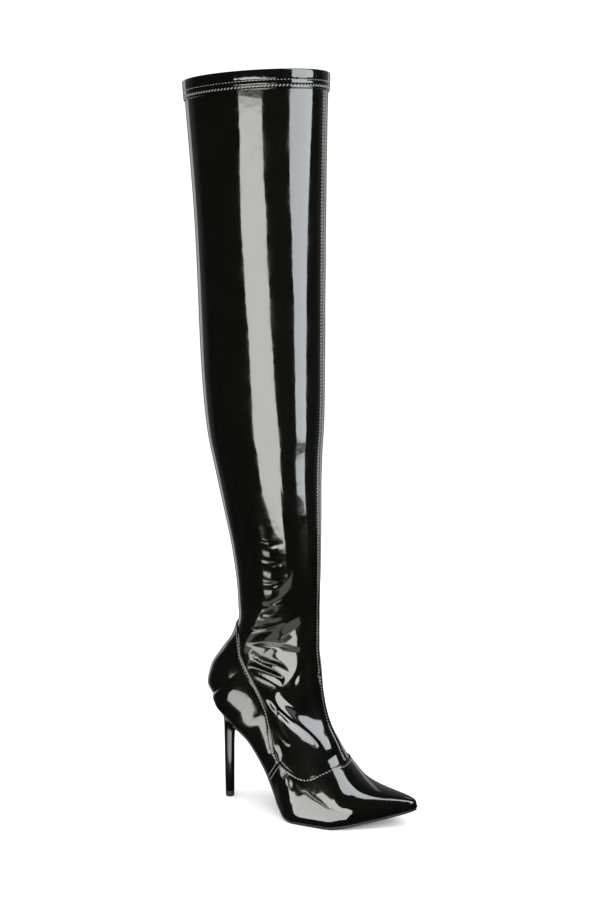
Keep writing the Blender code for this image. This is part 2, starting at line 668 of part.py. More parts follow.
def make_heel():
    """The heel: a cup as wide as the seat, drawn in to a thin stem."""
    outline = seat_outline()
    top = np.array([[*SOLE.spot(length, GAP), y] for length, y in outline])
    back_x, front_x = top[:, 0].min(), top[:, 0].max()
    back_z, front_z = top[:, 1].max(), top[:, 1].min()
    seat_half = top[:, 2].max()
    across = (top[:, 0] - (back_x + front_x) / 2) / ((front_x - back_x) / 2)
    aside = top[:, 2] / seat_half
    angle = np.arctan2(aside, across)
    foot = HEEL_TIP_HEIGHT + GAP
    def stem(height):
        share = (height - foot) / (back_z - foot)
        return HEEL_TIP_WIDTH / 2 + (STEM_WIDTH - HEEL_TIP_WIDTH) / 2 * share
    loops = [[(x, y, z) for x, z, y in top]]
    for flare in HEEL_FLARES + [None]:
        if flare is None:
            back, front, half, shape = -stem(foot), stem(foot), stem(foot), 1
            high, low = foot, foot
        else:
            high, low = flare.back_height * back_z, flare.front_height * front_z
            thin = stem((high + low) / 2)
            back = -thin + (back_x + thin) * flare.back
            front = thin + (front_x - thin) * flare.front
            half = thin + (seat_half - thin) * flare.side
            shape = flare.round
        along = across + (np.cos(angle) - across) * shape
        beside = aside + (np.sin(angle) - aside) * shape
        share = (along + 1) / 2
        loops.append(list(zip(back + (front - back) * share, half * beside,
                              high + (low - high) * share)))
    def build(shape):
        rings = [[shape.verts.new(point) for point in loop] for loop in loops]
        for near, far in zip(rings, rings[1:]):
            count = len(near)
            for index in range(count):
                following = (index + 1) % count
                shape.faces.new([near[index], near[following], far[following], far[index]])
        shape.faces.new(rings[0])
        shape.faces.new(rings[-1][::-1])
    return place("heel", new_mesh("heel", build), HEEL_BLACK)


def make_heel_tip():
    """The rubber piece that the heel stands on."""
    def build(shape):
        bmesh.ops.create_cone(shape, cap_ends=True, segments=28,
                              radius1=HEEL_TIP_WIDTH / 2 - GAP, radius2=HEEL_TIP_WIDTH / 2,
                              depth=HEEL_TIP_HEIGHT)
        bmesh.ops.translate(shape, verts=shape.verts, vec=(0, 0, HEEL_TIP_HEIGHT / 2))
    return place("heel_tip", new_mesh("heel_tip", build), RUBBER)


def inner_side_point(x, z):
    """The station and place around on the upper's inner side that has this X and Z."""
    station, around = float(FOOT_END), 0.5
    step = 1e-4
    for _ in range(60):
        here = surface(station, around)[[0, 2]]
        by_station = (surface(station + step, around)[[0, 2]] - here) / step
        by_around = (surface(station, around + step)[[0, 2]] - here) / step
        change = np.linalg.solve(np.stack([by_station, by_around], axis=-1),
                                 np.array([x, z]) - here)
        station += float(np.clip(change[0], -1, 1))
        around = float(np.clip(around + np.clip(change[1], -0.1, 0.1), 0.05, 0.95))
    return station, around


def make_zip():
    """Tape behind the slot, the coil in it and the slider near its top."""
    first, last = grid_row(9), grid_row(FOOT_END + 5)
    depth = WALL + GAP
    tape = shell("zip_tape", TAPE_BLACK, -depth, TAPE, outwards=False, first=first, last=last)
    beyond = (TAPE_WIDTH - SLOT_WIDTH) / 2
    boolean(tape, "INTERSECT", prism(
        "tape_cutter", zip_outline(TAPE_WIDTH, ZIP_BOTTOM - beyond / 2, ZIP_TOP + beyond),
        *INNER_SIDE))
    coil = shell("zip_coil", TAPE_BLACK, GAP - depth, COIL, first=first, last=last)
    boolean(coil, "INTERSECT", prism(
        "coil_cutter", zip_outline(COIL_WIDTH, ZIP_BOTTOM + GAP, ZIP_TOP - GAP), *INNER_SIDE))


def slider_frame():
    """Where the slider sits: X across the zip, Y out of the boot, Z up the zip."""
    height = ZIP_TOP - 0.7 * SLIDER_HEIGHT
    share = (height - ZIP_BOTTOM) / (ZIP_TOP - ZIP_BOTTOM)
    x = ZIP_BOTTOM_X + (ZIP_TOP_X - ZIP_BOTTOM_X) * share
    station, around = inner_side_point(x, height)
    centre = surface(station, around) + outward(station, around) * (COIL - WALL + GAP)
    below = surface(*inner_side_point(x, height - SLIDER_HEIGHT))
    above = surface(*inner_side_point(x, height + SLIDER_HEIGHT))
    up = Vector(above - below).normalized()
    out = Vector(outward(station, around))
    out = (out - up * out.dot(up)).normalized()
    frame = Matrix((out.cross(up), out, up)).transposed().to_4x4()
    frame.translation = Vector(centre)
    return frame


def block(shape, size, centre):
    made = bmesh.ops.create_cube(shape, size=1)["verts"]
    bmesh.ops.scale(shape, verts=made, vec=size)
    bmesh.ops.translate(shape, verts=made, vec=centre)


def rod(shape, radius, length, segments=16):
    """A round bar along X."""
    made = bmesh.ops.create_cone(shape, cap_ends=True, segments=segments, radius1=radius,
                                 radius2=radius, depth=length)["verts"]
    bmesh.ops.rotate(shape, verts=made, matrix=Matrix.Rotation(math.pi / 2, 3, "Y"))
    return made


def loose(name, build, finish, where, frame):
    """An object or a cutter built in the slider's frame."""
    item = place(name, new_mesh(name, build), finish, where)
    item.matrix_world = frame
    if where is CUTTERS:
        item.hide_render = True
        item.display_type = "WIRE"
    return item


def make_slider():
    """The slider on the coil: a plate, two ears and the pin that carries the pull."""
    frame = slider_frame()
    eye_width = EAR * 3
    pin_out = SLIDER_THICKNESS + PIN_STAND
    def body(shape):
        block(shape, (SLIDER_WIDTH, SLIDER_THICKNESS, SLIDER_HEIGHT),
              (0, SLIDER_THICKNESS / 2, 0))
    slider = loose("zip_slider", body, METAL_BLACK, BOOT, frame)
    bevel = slider.modifiers.new("rounding", "BEVEL")
    bevel.width = SLIDER_THICKNESS / 4
    bevel.segments = 2
    ear_height = 2 * EYE_RADIUS
    ear_deep = PIN_STAND + PIN_RADIUS + EAR + SLIDER_THICKNESS / 2
    for side in (-1, 1):
        def ear(shape, side=side):
            block(shape, (EAR, ear_deep, ear_height),
                  (side * (eye_width / 2 + GAP + EAR / 2),
                   SLIDER_THICKNESS / 2 + ear_deep / 2, 0))
        boolean(slider, "UNION", loose("ear_%d" % (side > 0), ear, None, CUTTERS, frame))
    def pin(shape):
        made = rod(shape, PIN_RADIUS, eye_width + 2 * GAP + EAR)
        bmesh.ops.translate(shape, verts=made, vec=(0, pin_out, 0))
    boolean(slider, "UNION", loose("pin", pin, None, CUTTERS, frame))
    return frame, pin_out, eye_width


def make_pull(frame, pin_out, eye_width):
    """The pull tab, hanging plumb from the pin. Its origin is on the pin's axis."""
    along_pin = frame.col[0].to_3d()
    plumb = (Vector((0, 0, 1)) - along_pin * along_pin.z).normalized()
    level = Matrix((along_pin, plumb.cross(along_pin), plumb)).transposed().to_4x4()
    level.translation = frame @ Vector((0, pin_out, 0))
    def eye(shape):
        rod(shape, EYE_RADIUS, eye_width, 20)
    pull = loose("zip_pull", eye, METAL_BLACK, BOOT, level)
    neck = 1.2 * EYE_RADIUS
    def tab(shape):
        block(shape, (PULL_WIDTH, PULL_THICKNESS, PULL_LENGTH - neck),
              (0, 0, -(PULL_LENGTH + neck) / 2 - PIN_RADIUS))
    def bar(shape):
        block(shape, (eye_width, PULL_THICKNESS, 1.6 * EYE_RADIUS),
              (0, 0, -1.35 * EYE_RADIUS))
    def bore(shape):
        rod(shape, PIN_RADIUS + GAP, 2 * eye_width, 20)
    boolean(pull, "UNION", loose("pull_tab", tab, None, CUTTERS, level))
    boolean(pull, "UNION", loose("pull_neck", bar, None, CUTTERS, level))
    boolean(pull, "DIFFERENCE", loose("pull_bore", bore, None, CUTTERS, level))
    return pull


make_upper()
make_vamp()
make_counter()
make_cuff()
make_front_seam()
make_insole()
make_outsole()
make_heel()
make_heel_tip()
make_zip()
make_pull(*make_slider())
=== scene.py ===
"""Thigh-high patent boot for the right foot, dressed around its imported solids.

Metres, +Z up, +X to the toe, +Y to the inner side of the foot.
"""

import math
from collections import namedtuple

import bpy
import numpy as np
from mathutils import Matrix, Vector


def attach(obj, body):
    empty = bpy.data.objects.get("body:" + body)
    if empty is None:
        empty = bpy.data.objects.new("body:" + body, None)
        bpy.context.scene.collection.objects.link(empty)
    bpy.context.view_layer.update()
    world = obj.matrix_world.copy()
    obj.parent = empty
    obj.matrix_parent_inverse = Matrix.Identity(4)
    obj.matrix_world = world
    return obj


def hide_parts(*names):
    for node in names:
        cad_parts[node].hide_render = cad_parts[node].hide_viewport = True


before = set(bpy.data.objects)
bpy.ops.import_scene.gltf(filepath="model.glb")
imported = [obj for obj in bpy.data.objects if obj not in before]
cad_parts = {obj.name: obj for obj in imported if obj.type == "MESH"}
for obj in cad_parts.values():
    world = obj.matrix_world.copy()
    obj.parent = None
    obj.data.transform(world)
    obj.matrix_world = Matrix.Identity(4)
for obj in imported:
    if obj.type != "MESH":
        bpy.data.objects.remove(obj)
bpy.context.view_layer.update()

# Driving sizes of the boot

FOOT_LENGTH = 0.2187      # back of the heel to the tip of the toe, measured level
HEEL_SETBACK = 0.021      # back of the heel behind the centre of the heel tip
BALL_WIDTH = 0.0740       # across the ball of the foot
HEEL_RISE = 0.107         # back of the heel seat above the feather line at the ball
TOE_SPRING = 0.0160       # tip of the sole above the floor
INSTEP_RISE = 0.105       # sole to the top of the instep, across the foot's section
BOOT_HEIGHT = 0.7168      # floor to the front of the collar
COLLAR_DROP = 0.007       # the collar's back below its front
THIGH_DEPTH = 0.1395      # collar, front to back
THIGH_WIDTH = 0.115       # collar, side to side

# Materials and clearances

WALL = 0.0014             # upper
OVERLAY = 0.0010          # vamp and counter, on top of the upper
HEM = 0.0009              # each layer of the cuff
GAP = 0.0003              # between pieces that lie on each other
OUTSOLE = 0.0027
SOLE_EDGE = 0.0017        # the sole's edge outside the feather line

CUFF_HEIGHT = 0.0160
CUFF_INSIDE = 0.0130
SEAM_WIDTH = 0.0030
BAND_WIDTH = 0.0076
SEAM_THICKNESS = 0.0008

HEEL_TIP_HEIGHT = 0.0060
HEEL_TIP_WIDTH = 0.0092
STEM_WIDTH = 0.0118       # heel stem just under the cup

ZIP_TOP = 0.322           # top of the slot above the floor
ZIP_BOTTOM = 0.046
ZIP_TOP_X = 0.054
ZIP_BOTTOM_X = 0.062
SLOT_WIDTH = 0.0095
TAPE_WIDTH = 0.0230

SEAT_FEATHER_HEIGHT = OUTSOLE + GAP

# Sections of the foot, from the toe to the ankle. Each lies in a plane through a low
# point on the sole or the back of the heel and a high point on the instep.
# sole, top: shares of FOOT_LENGTH, from the back of the heel
# lift, spring, up: the low point's height, as shares of HEEL_RISE, TOE_SPRING, INSTEP_RISE
# rise: high point above the low point, as a share of INSTEP_RISE
# half, feather, swing: widest half, half at the feather line and centre, of BALL_WIDTH
# at: where the widest place lies, from the low point to the high one
# arch: the inner feather line as a share of the outer one
# ridge, blunt: how sharply the section narrows at the top and at the back
# shut: 1 where the section is closed at its low point

Section = namedtuple(
    "Section", "sole lift spring up top rise half at feather swing arch ridge blunt shut")

FOOT_SECTIONS = [
    Section(0.9992, 0, 1.00, 0, 0.9998, 0.029, 0.018, 0.40, 0.017, 0.068, 1.00, 0.90, 0.8, 0),
    Section(0.9955, 0, 0.99, 0, 0.998, 0.044, 0.039, 0.40, 0.037, 0.068, 1.00, 0.90, 0.8, 0),
    Section(0.984, 0, 0.95, 0, 0.991, 0.070, 0.073, 0.40, 0.070, 0.067, 1.00, 0.90, 0.8, 0),
    Section(0.951, 0, 0.83, 0, 0.962, 0.108, 0.133, 0.33, 0.129, 0.064, 1.00, 0.92, 0.8, 0),
    Section(0.886, 0, 0.61, 0, 0.906, 0.166, 0.230, 0.29, 0.220, 0.046, 1.00, 0.95, 0.8, 0),
    Section(0.804, 0, 0.36, 0, 0.831, 0.238, 0.350, 0.25, 0.334, 0.020, 1.00, 0.97, 0.8, 0),
    Section(0.718, 0, 0.11, 0, 0.757, 0.345, 0.450, 0.22, 0.427, -0.010, 1.00, 1.00, 0.8, 0),
    Section(0.645, 0, 0.00, 0, 0.692, 0.506, 0.500, 0.20, 0.474, -0.026, 1.00, 1.05, 0.8, 0),
    Section(0.497, 0, 0.00, 0, 0.639, 0.708, 0.503, 0.20, 0.478, -0.028, 0.98, 1.12, 0.8, 0),
    Section(0.452, 0.016, 0, 0, 0.602, 0.840, 0.482, 0.24, 0.448, -0.024, 0.93, 1.20, 0.8, 0),
    Section(0.411, 0.083, 0, 0, 0.575, 0.945, 0.447, 0.31, 0.366, -0.014, 0.88, 1.22, 0.8, 0),
    Section(0.368, 0.222, 0, 0, 0.558, 1.000, 0.424, 0.39, 0.290, -0.006, 0.88, 1.18, 0.8, 0),
    Section(0.318, 0.411, 0, 0, 0.549, 1.000, 0.421, 0.45, 0.265, 0.000, 0.92, 1.12, 0.8, 0),
    Section(0.245, 0.630, 0, 0, 0.541, 0.950, 0.429, 0.45, 0.262, 0.000, 0.97, 1.06, 0.8, 0),
    Section(0.159, 0.795, 0, 0, 0.541, 0.925, 0.434, 0.43, 0.300, 0.000, 1.00, 1.02, 0.8, 0.1),
    Section(0.091, 0.914, 0, 0, 0.542, 0.930, 0.437, 0.43, 0.298, 0.000, 1.00, 1.00, 0.80, 0.5),
    Section(0.065, 0.959, 0, 0, 0.542, 0.944, 0.438, 0.44, 0.235, 0.000, 1.00, 1.00, 0.78, 0.8),
    Section(0.048, 0.987, 0, 0, 0.542, 0.950, 0.439, 0.45, 0.125, 0.000, 1.00, 1.00, 0.78, 1),
    Section(0.037, 1.000, 0, 0.006, 0.542, 0.945, 0.440, 0.45, 0.0, 0.000, 1.00, 1.00, 0.78, 1),
    Section(0.009, 1.000, 0, 0.115, 0.543, 0.910, 0.444, 0.46, 0.0, 0.000, 1.00, 1.00, 0.78, 1),
    Section(0.027, 1.000, 0, 0.285, 0.543, 0.820, 0.455, 0.48, 0.0, 0.000, 1.00, 1.00, 0.82, 1),
    Section(0.079, 1.000, 0, 0.457, 0.543, 0.752, 0.464, 0.50, 0.0, 0.000, 1.00, 1.00, 0.90, 1),
    Section(0.138, 1.000, 0, 0.630, 0.543, 0.685, 0.478, 0.50, 0.0, 0.000, 1.00, 1.00, 0.95, 1),
    Section(0.163, 1.000, 0, 0.820, 0.543, 0.619, 0.492, 0.50, 0.0, 0.000, 1.00, 1.00, 1.00, 1),
]

# Sections of the shaft, from above the ankle to the collar.
# back_level, front_level: shares of the height from the last foot section to the collar
# back, front: distance behind and before the front of the ankle, of THIGH_DEPTH
# half: widest half, of THIGH_WIDTH

Ring = namedtuple("Ring", "back_level front_level back front half")

SHAFT_SECTIONS = [
    Ring(0.056, 0.160, 0.603, 0.000, 0.334),
    Ring(0.130, 0.206, 0.636, -0.002, 0.362),
    Ring(0.212, 0.259, 0.697, -0.004, 0.397),
    Ring(0.291, 0.315, 0.762, 0.000, 0.424),
    Ring(0.362, 0.370, 0.815, 0.012, 0.445),
    Ring(0.445, 0.447, 0.846, 0.017, 0.460),
    Ring(0.560, 0.560, 0.866, 0.018, 0.472),
    Ring(0.680, 0.680, 0.880, 0.019, 0.482),
    Ring(0.800, 0.800, 0.902, 0.022, 0.491),
    Ring(0.900, 0.901, 0.932, 0.028, 0.496),
    Ring(0.966, 0.969, 0.953, 0.034, 0.499),
    Ring(1.000, 1.000, 0.963, 0.037, 0.500),
]

FOOT_END = len(FOOT_SECTIONS) - 1
COLLAR = len(FOOT_SECTIONS) + len(SHAFT_SECTIONS) - 1

# The heel from the seat down to the stem.
# back_height, front_height: shares of the seat's height at its back and at the breast
# back, front, side: 1 reaches as far as the seat, 0 only as far as the stem
# round: 0 keeps the seat's outline, 1 is an ellipse

Flare = namedtuple("Flare", "back_height front_height back front side round")

HEEL_FLARES = [
    Flare(0.964, 0.974, 0.76, 0.73, 0.82, 0.35),
    Flare(0.915, 0.925, 0.42, 0.52, 0.51, 0.70),
    Flare(0.860, 0.880, 0.18, 0.28, 0.26, 1),
    Flare(0.780, 0.840, 0.05, 0.12, 0.10, 1),
    Flare(0.690, 0.780, 0.00, 0.03, 0.02, 1),
    Flare(0.560, 0.680, 0.00, 0.00, 0.00, 1),
    Flare(0.320, 0.410, 0.00, 0.00, 0.00, 1),
]
BREAST = 0.166            # front of the heel seat, as a share of FOOT_LENGTH

# Seams seen from the side: length as a share of FOOT_LENGTH from the back of the heel,
# height above the ball's feather line as a share of HEEL_RISE. All end where the vamp
# and the counter meet on the side of the foot.

VAMP_SEAM = [
    (0.726, 0.600), (0.690, 0.514), (0.670, 0.519), (0.639, 0.502), (0.608, 0.471),
    (0.580, 0.438), (0.548, 0.420), (0.514, 0.424), (0.480, 0.446), (0.444, 0.480),
    (0.413, 0.512),
]
COUNTER_SEAM = [
    (-0.101, 1.780), (0.148, 1.760), (0.194, 1.740), (0.214, 1.690), (0.224, 1.600),
    (0.233, 1.467), (0.260, 1.353), (0.296, 1.227), (0.330, 1.100), (0.355, 0.984),
    (0.370, 0.837), (0.378, 0.674), (0.391, 0.583), (0.413, 0.512),
]
SIDE_SEAM_FOOT = 0.345    # where the side seam meets the sole, of FOOT_LENGTH
BAND_START = 7.2          # foot section where the band on the instep starts, under the vamp
BAND_END = 11.0           # and where it begins to narrow to the front seam


def foot_row(section):
    """Real sizes of a foot section: low x, low z, high x, high z and its widths."""
    low_x = section.sole * FOOT_LENGTH - HEEL_SETBACK
    low_z = (SEAT_FEATHER_HEIGHT + section.lift * HEEL_RISE + section.spring * TOE_SPRING
             + section.up * INSTEP_RISE)
    high_x = section.top * FOOT_LENGTH - HEEL_SETBACK
    high_z = low_z + section.rise * INSTEP_RISE
    return (low_x, low_z, high_x, high_z, section.half * BALL_WIDTH, section.at,
            section.feather * BALL_WIDTH, section.swing * BALL_WIDTH, section.arch,
            section.ridge, section.blunt, section.shut)


def shaft_row(ring, ankle):
    """Real sizes of a shaft section, which stands on the last foot section."""
    front_x, base = ankle[2], ankle[1]
    low_z = base + ring.back_level * (BOOT_HEIGHT - COLLAR_DROP - base)
    high_z = base + ring.front_level * (BOOT_HEIGHT - base)
    return (front_x - ring.back * THIGH_DEPTH, low_z, front_x + ring.front * THIGH_DEPTH,
            high_z, ring.half * THIGH_WIDTH, 0.5, 0, 0, 1, 1, 1, 1)


def section_rows():
    """All key sections, toe to collar, one row each."""
    rows = [foot_row(section) for section in FOOT_SECTIONS]
    rows += [shaft_row(ring, rows[FOOT_END]) for ring in SHAFT_SECTIONS]
    return np.array(rows)


def smooth_slopes(rows):
    """Slopes at evenly spaced rows for a curve that never overshoots them."""
    steps = np.diff(rows, axis=0)
    before, after = steps[:-1], steps[1:]
    same = before * after > 0
    mean = 2 * before * after / np.where(same, before + after, 1)
    return np.vstack([steps[:1], np.where(same, mean, 0), steps[-1:]])


ROWS = section_rows()
SLOPES = smooth_slopes(ROWS)


def rows_at(stations):
    """The section sizes at any places between the key sections, by cubic curves."""
    stations = np.clip(np.asarray(stations, dtype=float), 0, COLLAR)
    first = np.minimum(stations.astype(int), COLLAR - 1)
    part = (stations - first)[..., None]
    near, far = ROWS[first], ROWS[first + 1]
    return (near * (1 + 2 * part) * (1 - part) ** 2 + SLOPES[first] * part * (1 - part) ** 2
            + far * part ** 2 * (3 - 2 * part) + SLOPES[first + 1] * part ** 2 * (part - 1))


def surface(stations, around):
    """Points of the upper's outer face.

    around runs from -1 at the outer feather line over 0 at the top to 1 at the inner one.
    """
    stations, around = np.broadcast_arrays(stations, around)
    row = np.moveaxis(rows_at(stations), -1, 0)
    low_x, low_z, high_x, high_z, half, at, feather, swing, arch, ridge, blunt, shut = row
    turn = np.abs(around) * math.pi
    cosine = np.abs(np.cos(turn))
    sine = np.abs(np.sin(turn))
    feather = feather * np.where(around > 0, arch, 1)
    above = np.abs(around) <= 0.5
    tuck = np.clip(np.abs(around) * 2 - 1, 0, 1)
    wall_height = at * (1 - tuck)
    wall_width = feather + (half - feather) * (1 - tuck ** 2)
    round_height = at * (1 - cosine)
    round_width = feather + (half - feather) * sine ** blunt
    height = np.where(above, at + (1 - at) * cosine,
                      wall_height + (round_height - wall_height) * shut)
    width = np.where(above, half * sine ** ridge,
                     wall_width + (round_width - wall_width) * shut)
    x = low_x + (high_x - low_x) * height
    z = low_z + (high_z - low_z) * height
    y = swing + np.sign(around) * width
    return np.stack([x, y, z], axis=-1)


def outward(stations, around, step=0.002):
    """Unit normals of the upper's outer face, by differences."""
    across = surface(stations, around + step) - surface(stations, around - step)
    along = (surface(np.minimum(stations + step, COLLAR), around)
             - surface(np.maximum(stations - step, 0), around))
    normal = np.cross(across, along)
    return normal / np.linalg.norm(normal, axis=-1, keepdims=True)


# Surfaces: patches of the upper's face, as triangles over (station, around)


def spaced_stations(first, last, step_low, step_high=None, turn_height=0.34):
    """Stations whose sections lie a step apart, wider apart above the turn height."""
    step_high = step_high or step_low
    fine = np.linspace(first, last, 3000)
    points = surface(fine[:, None], np.linspace(-1, 1, 13)[None, :])
    steps = np.linalg.norm(np.diff(points, axis=0), axis=-1).max(axis=1)
    height = points[:-1, :, 2].mean(axis=1)
    share = np.clip((height - turn_height) / 0.04, 0, 1)
    travelled = np.concatenate([[0], np.cumsum(steps / (step_low + (step_high - step_low)
                                                        * share))])
    return np.interp(np.linspace(0, travelled[-1], int(travelled[-1]) + 1), travelled, fine)


def grid(stations, around):
    params = np.stack(np.meshgrid(stations, around, indexing="ij"), -1).reshape(-1, 2)
    index = np.arange(len(params)).reshape(len(stations), len(around))
    a, b = index[:-1, :-1].ravel(), index[:-1, 1:].ravel()
    c, d = index[1:, 1:].ravel(), index[1:, :-1].ravel()
    return params, np.concatenate([np.stack([a, b, c], -1), np.stack([a, c, d], -1)])


def cut(params, faces, value, drop):
    """Split the faces where the value crosses zero, and drop what lies below if asked.

    Gives back the parameters, the faces and the new points as pairs along the cut.
    """
    value = np.where(np.abs(value) < 1e-7, 1e-7, value)
    plus = value[faces] > 0
    count = plus.sum(axis=1)
    kept = [faces[count == 3]]
    if not drop:
        kept.append(faces[count == 0])
    made, found, extra, pairs = [], {}, [], []

    def crossing(one, other):
        key = (min(one, other), max(one, other))
        if key not in found:
            share = value[key[0]] / (value[key[0]] - value[key[1]])
            found[key] = len(params) + len(extra)
            extra.append(params[key[0]] + (params[key[1]] - params[key[0]]) * share)
        return found[key]

    mixed = (count > 0) & (count < 3)
    for corners, signs in zip(faces[mixed].tolist(), plus[mixed].tolist()):
        lone = signs.index(sum(signs) == 1)
        a, b, c = corners[lone], corners[(lone + 1) % 3], corners[(lone + 2) % 3]
        ab, ac = crossing(a, b), crossing(a, c)
        pairs.append((ab, ac))
        if signs[lone] or not drop:
            made.append((a, ab, ac))
        if not signs[lone] or not drop:
            made += [(ab, b, c), (ab, c, ac)]
    if extra:
        params = np.vstack([params, extra])
        kept.append(np.array(made))
    return params, np.concatenate(kept), pairs


def chains(pairs):
    """Order the point pairs of a cut into lines."""
    near = {}
    for one, other in pairs:
        near.setdefault(one, []).append(other)
        near.setdefault(other, []).append(one)
    lines, used = [], set()
    ends = [point for point in near if len(near[point]) == 1] + list(near)
    for start in ends:
        if start in used:
            continue
        line, here = [start], start
        used.add(start)
        while True:
            following = [point for point in near[here] if point not in used]
            if not following:
                break
            here = following[0]
            used.add(here)
            line.append(here)
        if len(line) > 3:
            lines.append(line)
    return lines


def weld(points, faces):
    """Join points that lie together and drop faces and points that are then unused."""
    keys = np.round(points / 8e-6).astype(np.int64)
    _, first, where = np.unique(keys, axis=0, return_index=True, return_inverse=True)
    where = where.ravel()
    faces = where[faces]
    good = ((faces[:, 0] != faces[:, 1]) & (faces[:, 1] != faces[:, 2])
            & (faces[:, 2] != faces[:, 0]))
    faces = faces[good]
    used = np.unique(faces)
    renumber = np.full(len(first), -1)
    renumber[used] = np.arange(len(used))
    return first[used], renumber[faces]


def face_normals(points, faces):
    corner = points[faces]
    return np.cross(corner[:, 1] - corner[:, 0], corner[:, 2] - corner[:, 0])


def vertex_normals(points, faces):
    normals = np.zeros_like(points)
    across = face_normals(points, faces)
    for corner in range(3):
        np.add.at(normals, faces[:, corner], across)
    return normals / np.maximum(np.linalg.norm(normals, axis=1, keepdims=True), 1e-12)


def smooth(low, high, value):
    share = np.clip((value - low) / (high - low), 0, 1)
    return share * share * (3 - 2 * share)


def curve_through(points, parts=8):
    """A smooth line through points, with their number of parts between each two."""
    points = np.asarray(points, dtype=float)
    padded = np.vstack([2 * points[0] - points[1], points, 2 * points[-1] - points[-2]])
    share = np.arange(parts)[:, None] / parts
    line = []
    for a, b, c, d in zip(padded, padded[1:], padded[2:], padded[3:]):
        line.append(0.5 * (2 * b + (c - a) * share + (2 * a - 5 * b + 4 * c - d) * share ** 2
                           + (3 * b - a - 3 * c + d) * share ** 3))
    return np.vstack(line + [points[-1:]])


def distance_to_line(points, line):
    """Distance of flat points to an open line, how far along it, and if left of it."""
    best = np.full(len(points), np.inf)
    along = np.zeros(len(points))
    left = np.zeros(len(points), dtype=bool)
    for index, (a, b) in enumerate(zip(line, line[1:])):
        step = b - a
        away = points - a
        share = np.clip(away @ step / max(step @ step, 1e-12), 0, 1)
        far = np.linalg.norm(away - share[:, None] * step, axis=1)
        closer = far < best
        best = np.where(closer, far, best)
        along = np.where(closer, (index + share) / (len(line) - 1), along)
        left = np.where(closer, step[0] * away[:, 1] > step[1] * away[:, 0], left)
    return best, along, left


def inside_outline(points, outline):
    """Whether flat points lie inside a closed outline."""
    inside = np.zeros(len(points), dtype=bool)
    for (ax, az), (bx, bz) in zip(outline, np.roll(outline, -1, axis=0)):
        if az == bz:
            continue
        between = (az > points[:, 1]) != (bz > points[:, 1])
        cross = ax + (points[:, 1] - az) / (bz - az) * (bx - ax)
        inside ^= between & (points[:, 0] < cross)
    return inside


# Seams, seen from the side in metres


def seam_points(seam):
    return np.array([(length * FOOT_LENGTH - HEEL_SETBACK,
                      SEAT_FEATHER_HEIGHT + height * HEEL_RISE) for length, height in seam])


def sole_row(x):
    """Station of the sole where it has this X."""
    stations = np.linspace(0, SEAT_BACK, 600)
    return float(np.interp(-x, -rows_at(stations)[:, 0], stations))


SEAT_BACK = next(index for index, section in enumerate(FOOT_SECTIONS)
                 if section.feather == 0)
SIDE_FOOT_X = SIDE_SEAM_FOOT * FOOT_LENGTH - HEEL_SETBACK
SIDE_FOOT = np.array([SIDE_FOOT_X, rows_at(sole_row(SIDE_FOOT_X))[1]])
FAR = 0.35
VAMP_LINE = curve_through(seam_points(VAMP_SEAM))
COUNTER_LINE = curve_through(seam_points(COUNTER_SEAM))
SIDE_LINE = np.linspace(VAMP_LINE[-1], SIDE_FOOT + (SIDE_FOOT - VAMP_LINE[-1]) * 0.5, 6)
VAMP_EDGE = np.vstack([VAMP_LINE, SIDE_LINE[1:]])
COUNTER_EDGE = np.vstack([COUNTER_LINE, SIDE_LINE[1:]])


def zip_middle(height):
    lean = (ZIP_TOP_X - ZIP_BOTTOM_X) / (ZIP_TOP - ZIP_BOTTOM)
    return ZIP_BOTTOM_X + lean * (height - ZIP_BOTTOM)


def zip_offset(points):
    """Distance ahead of the zip's middle line, and 1 on the outer side of the boot."""
    return np.where(points[:, 1] > 0, points[:, 0] - zip_middle(points[:, 2]), 1)


def vamp_depth(points):
    """How far inside the vamp's edge a point is. Negative outside."""
    flat = points[:, [0, 2]]
    outline = np.vstack([VAMP_EDGE, [SIDE_LINE[-1, 0], -0.05], [FAR, -0.05], [FAR, FAR / 2]])
    far, _, _ = distance_to_line(flat, VAMP_EDGE)
    depth = np.where(inside_outline(flat, outline), far, -far)
    beside = np.where(points[:, 1] > 0, zip_offset(points) - LIP, FAR)
    return np.minimum(depth, beside)


def counter_depth(points):
    """How far inside the counter's edge a point is. Negative outside."""
    flat = points[:, [0, 2]]
    outline = np.vstack([COUNTER_EDGE, [SIDE_LINE[-1, 0], -0.05], [-FAR, -0.05],
                         [-FAR, COUNTER_LINE[0, 1]]])
    far, _, _ = distance_to_line(flat, COUNTER_EDGE)
    depth = np.where(inside_outline(flat, outline), far, -far)
    beside = np.where(points[:, 1] > 0, -zip_offset(points) - LIP, FAR)
    return np.minimum(depth, beside)


LIP = SLOT_WIDTH / 2 + OVERLAY


def slot_depth(points):
    """How far outside the zip's slot a point is. Negative in the slot."""
    aside = np.abs(zip_offset(points)) - SLOT_WIDTH / 2
    above = points[:, 2] - ZIP_TOP
    below = ZIP_BOTTOM - points[:, 2]
    return np.where(points[:, 1] > 0, np.maximum(np.maximum(aside, above), below), 1)


# Folds: where they run as (x, z) in millimetres seen from the side, or (y, z)
# seen from the back and the front. Height and half widths in millimetres, inward where
# negative: before is the half width to the left of the line, behind the one to its right.

Fold = namedtuple("Fold", "view line height before behind")

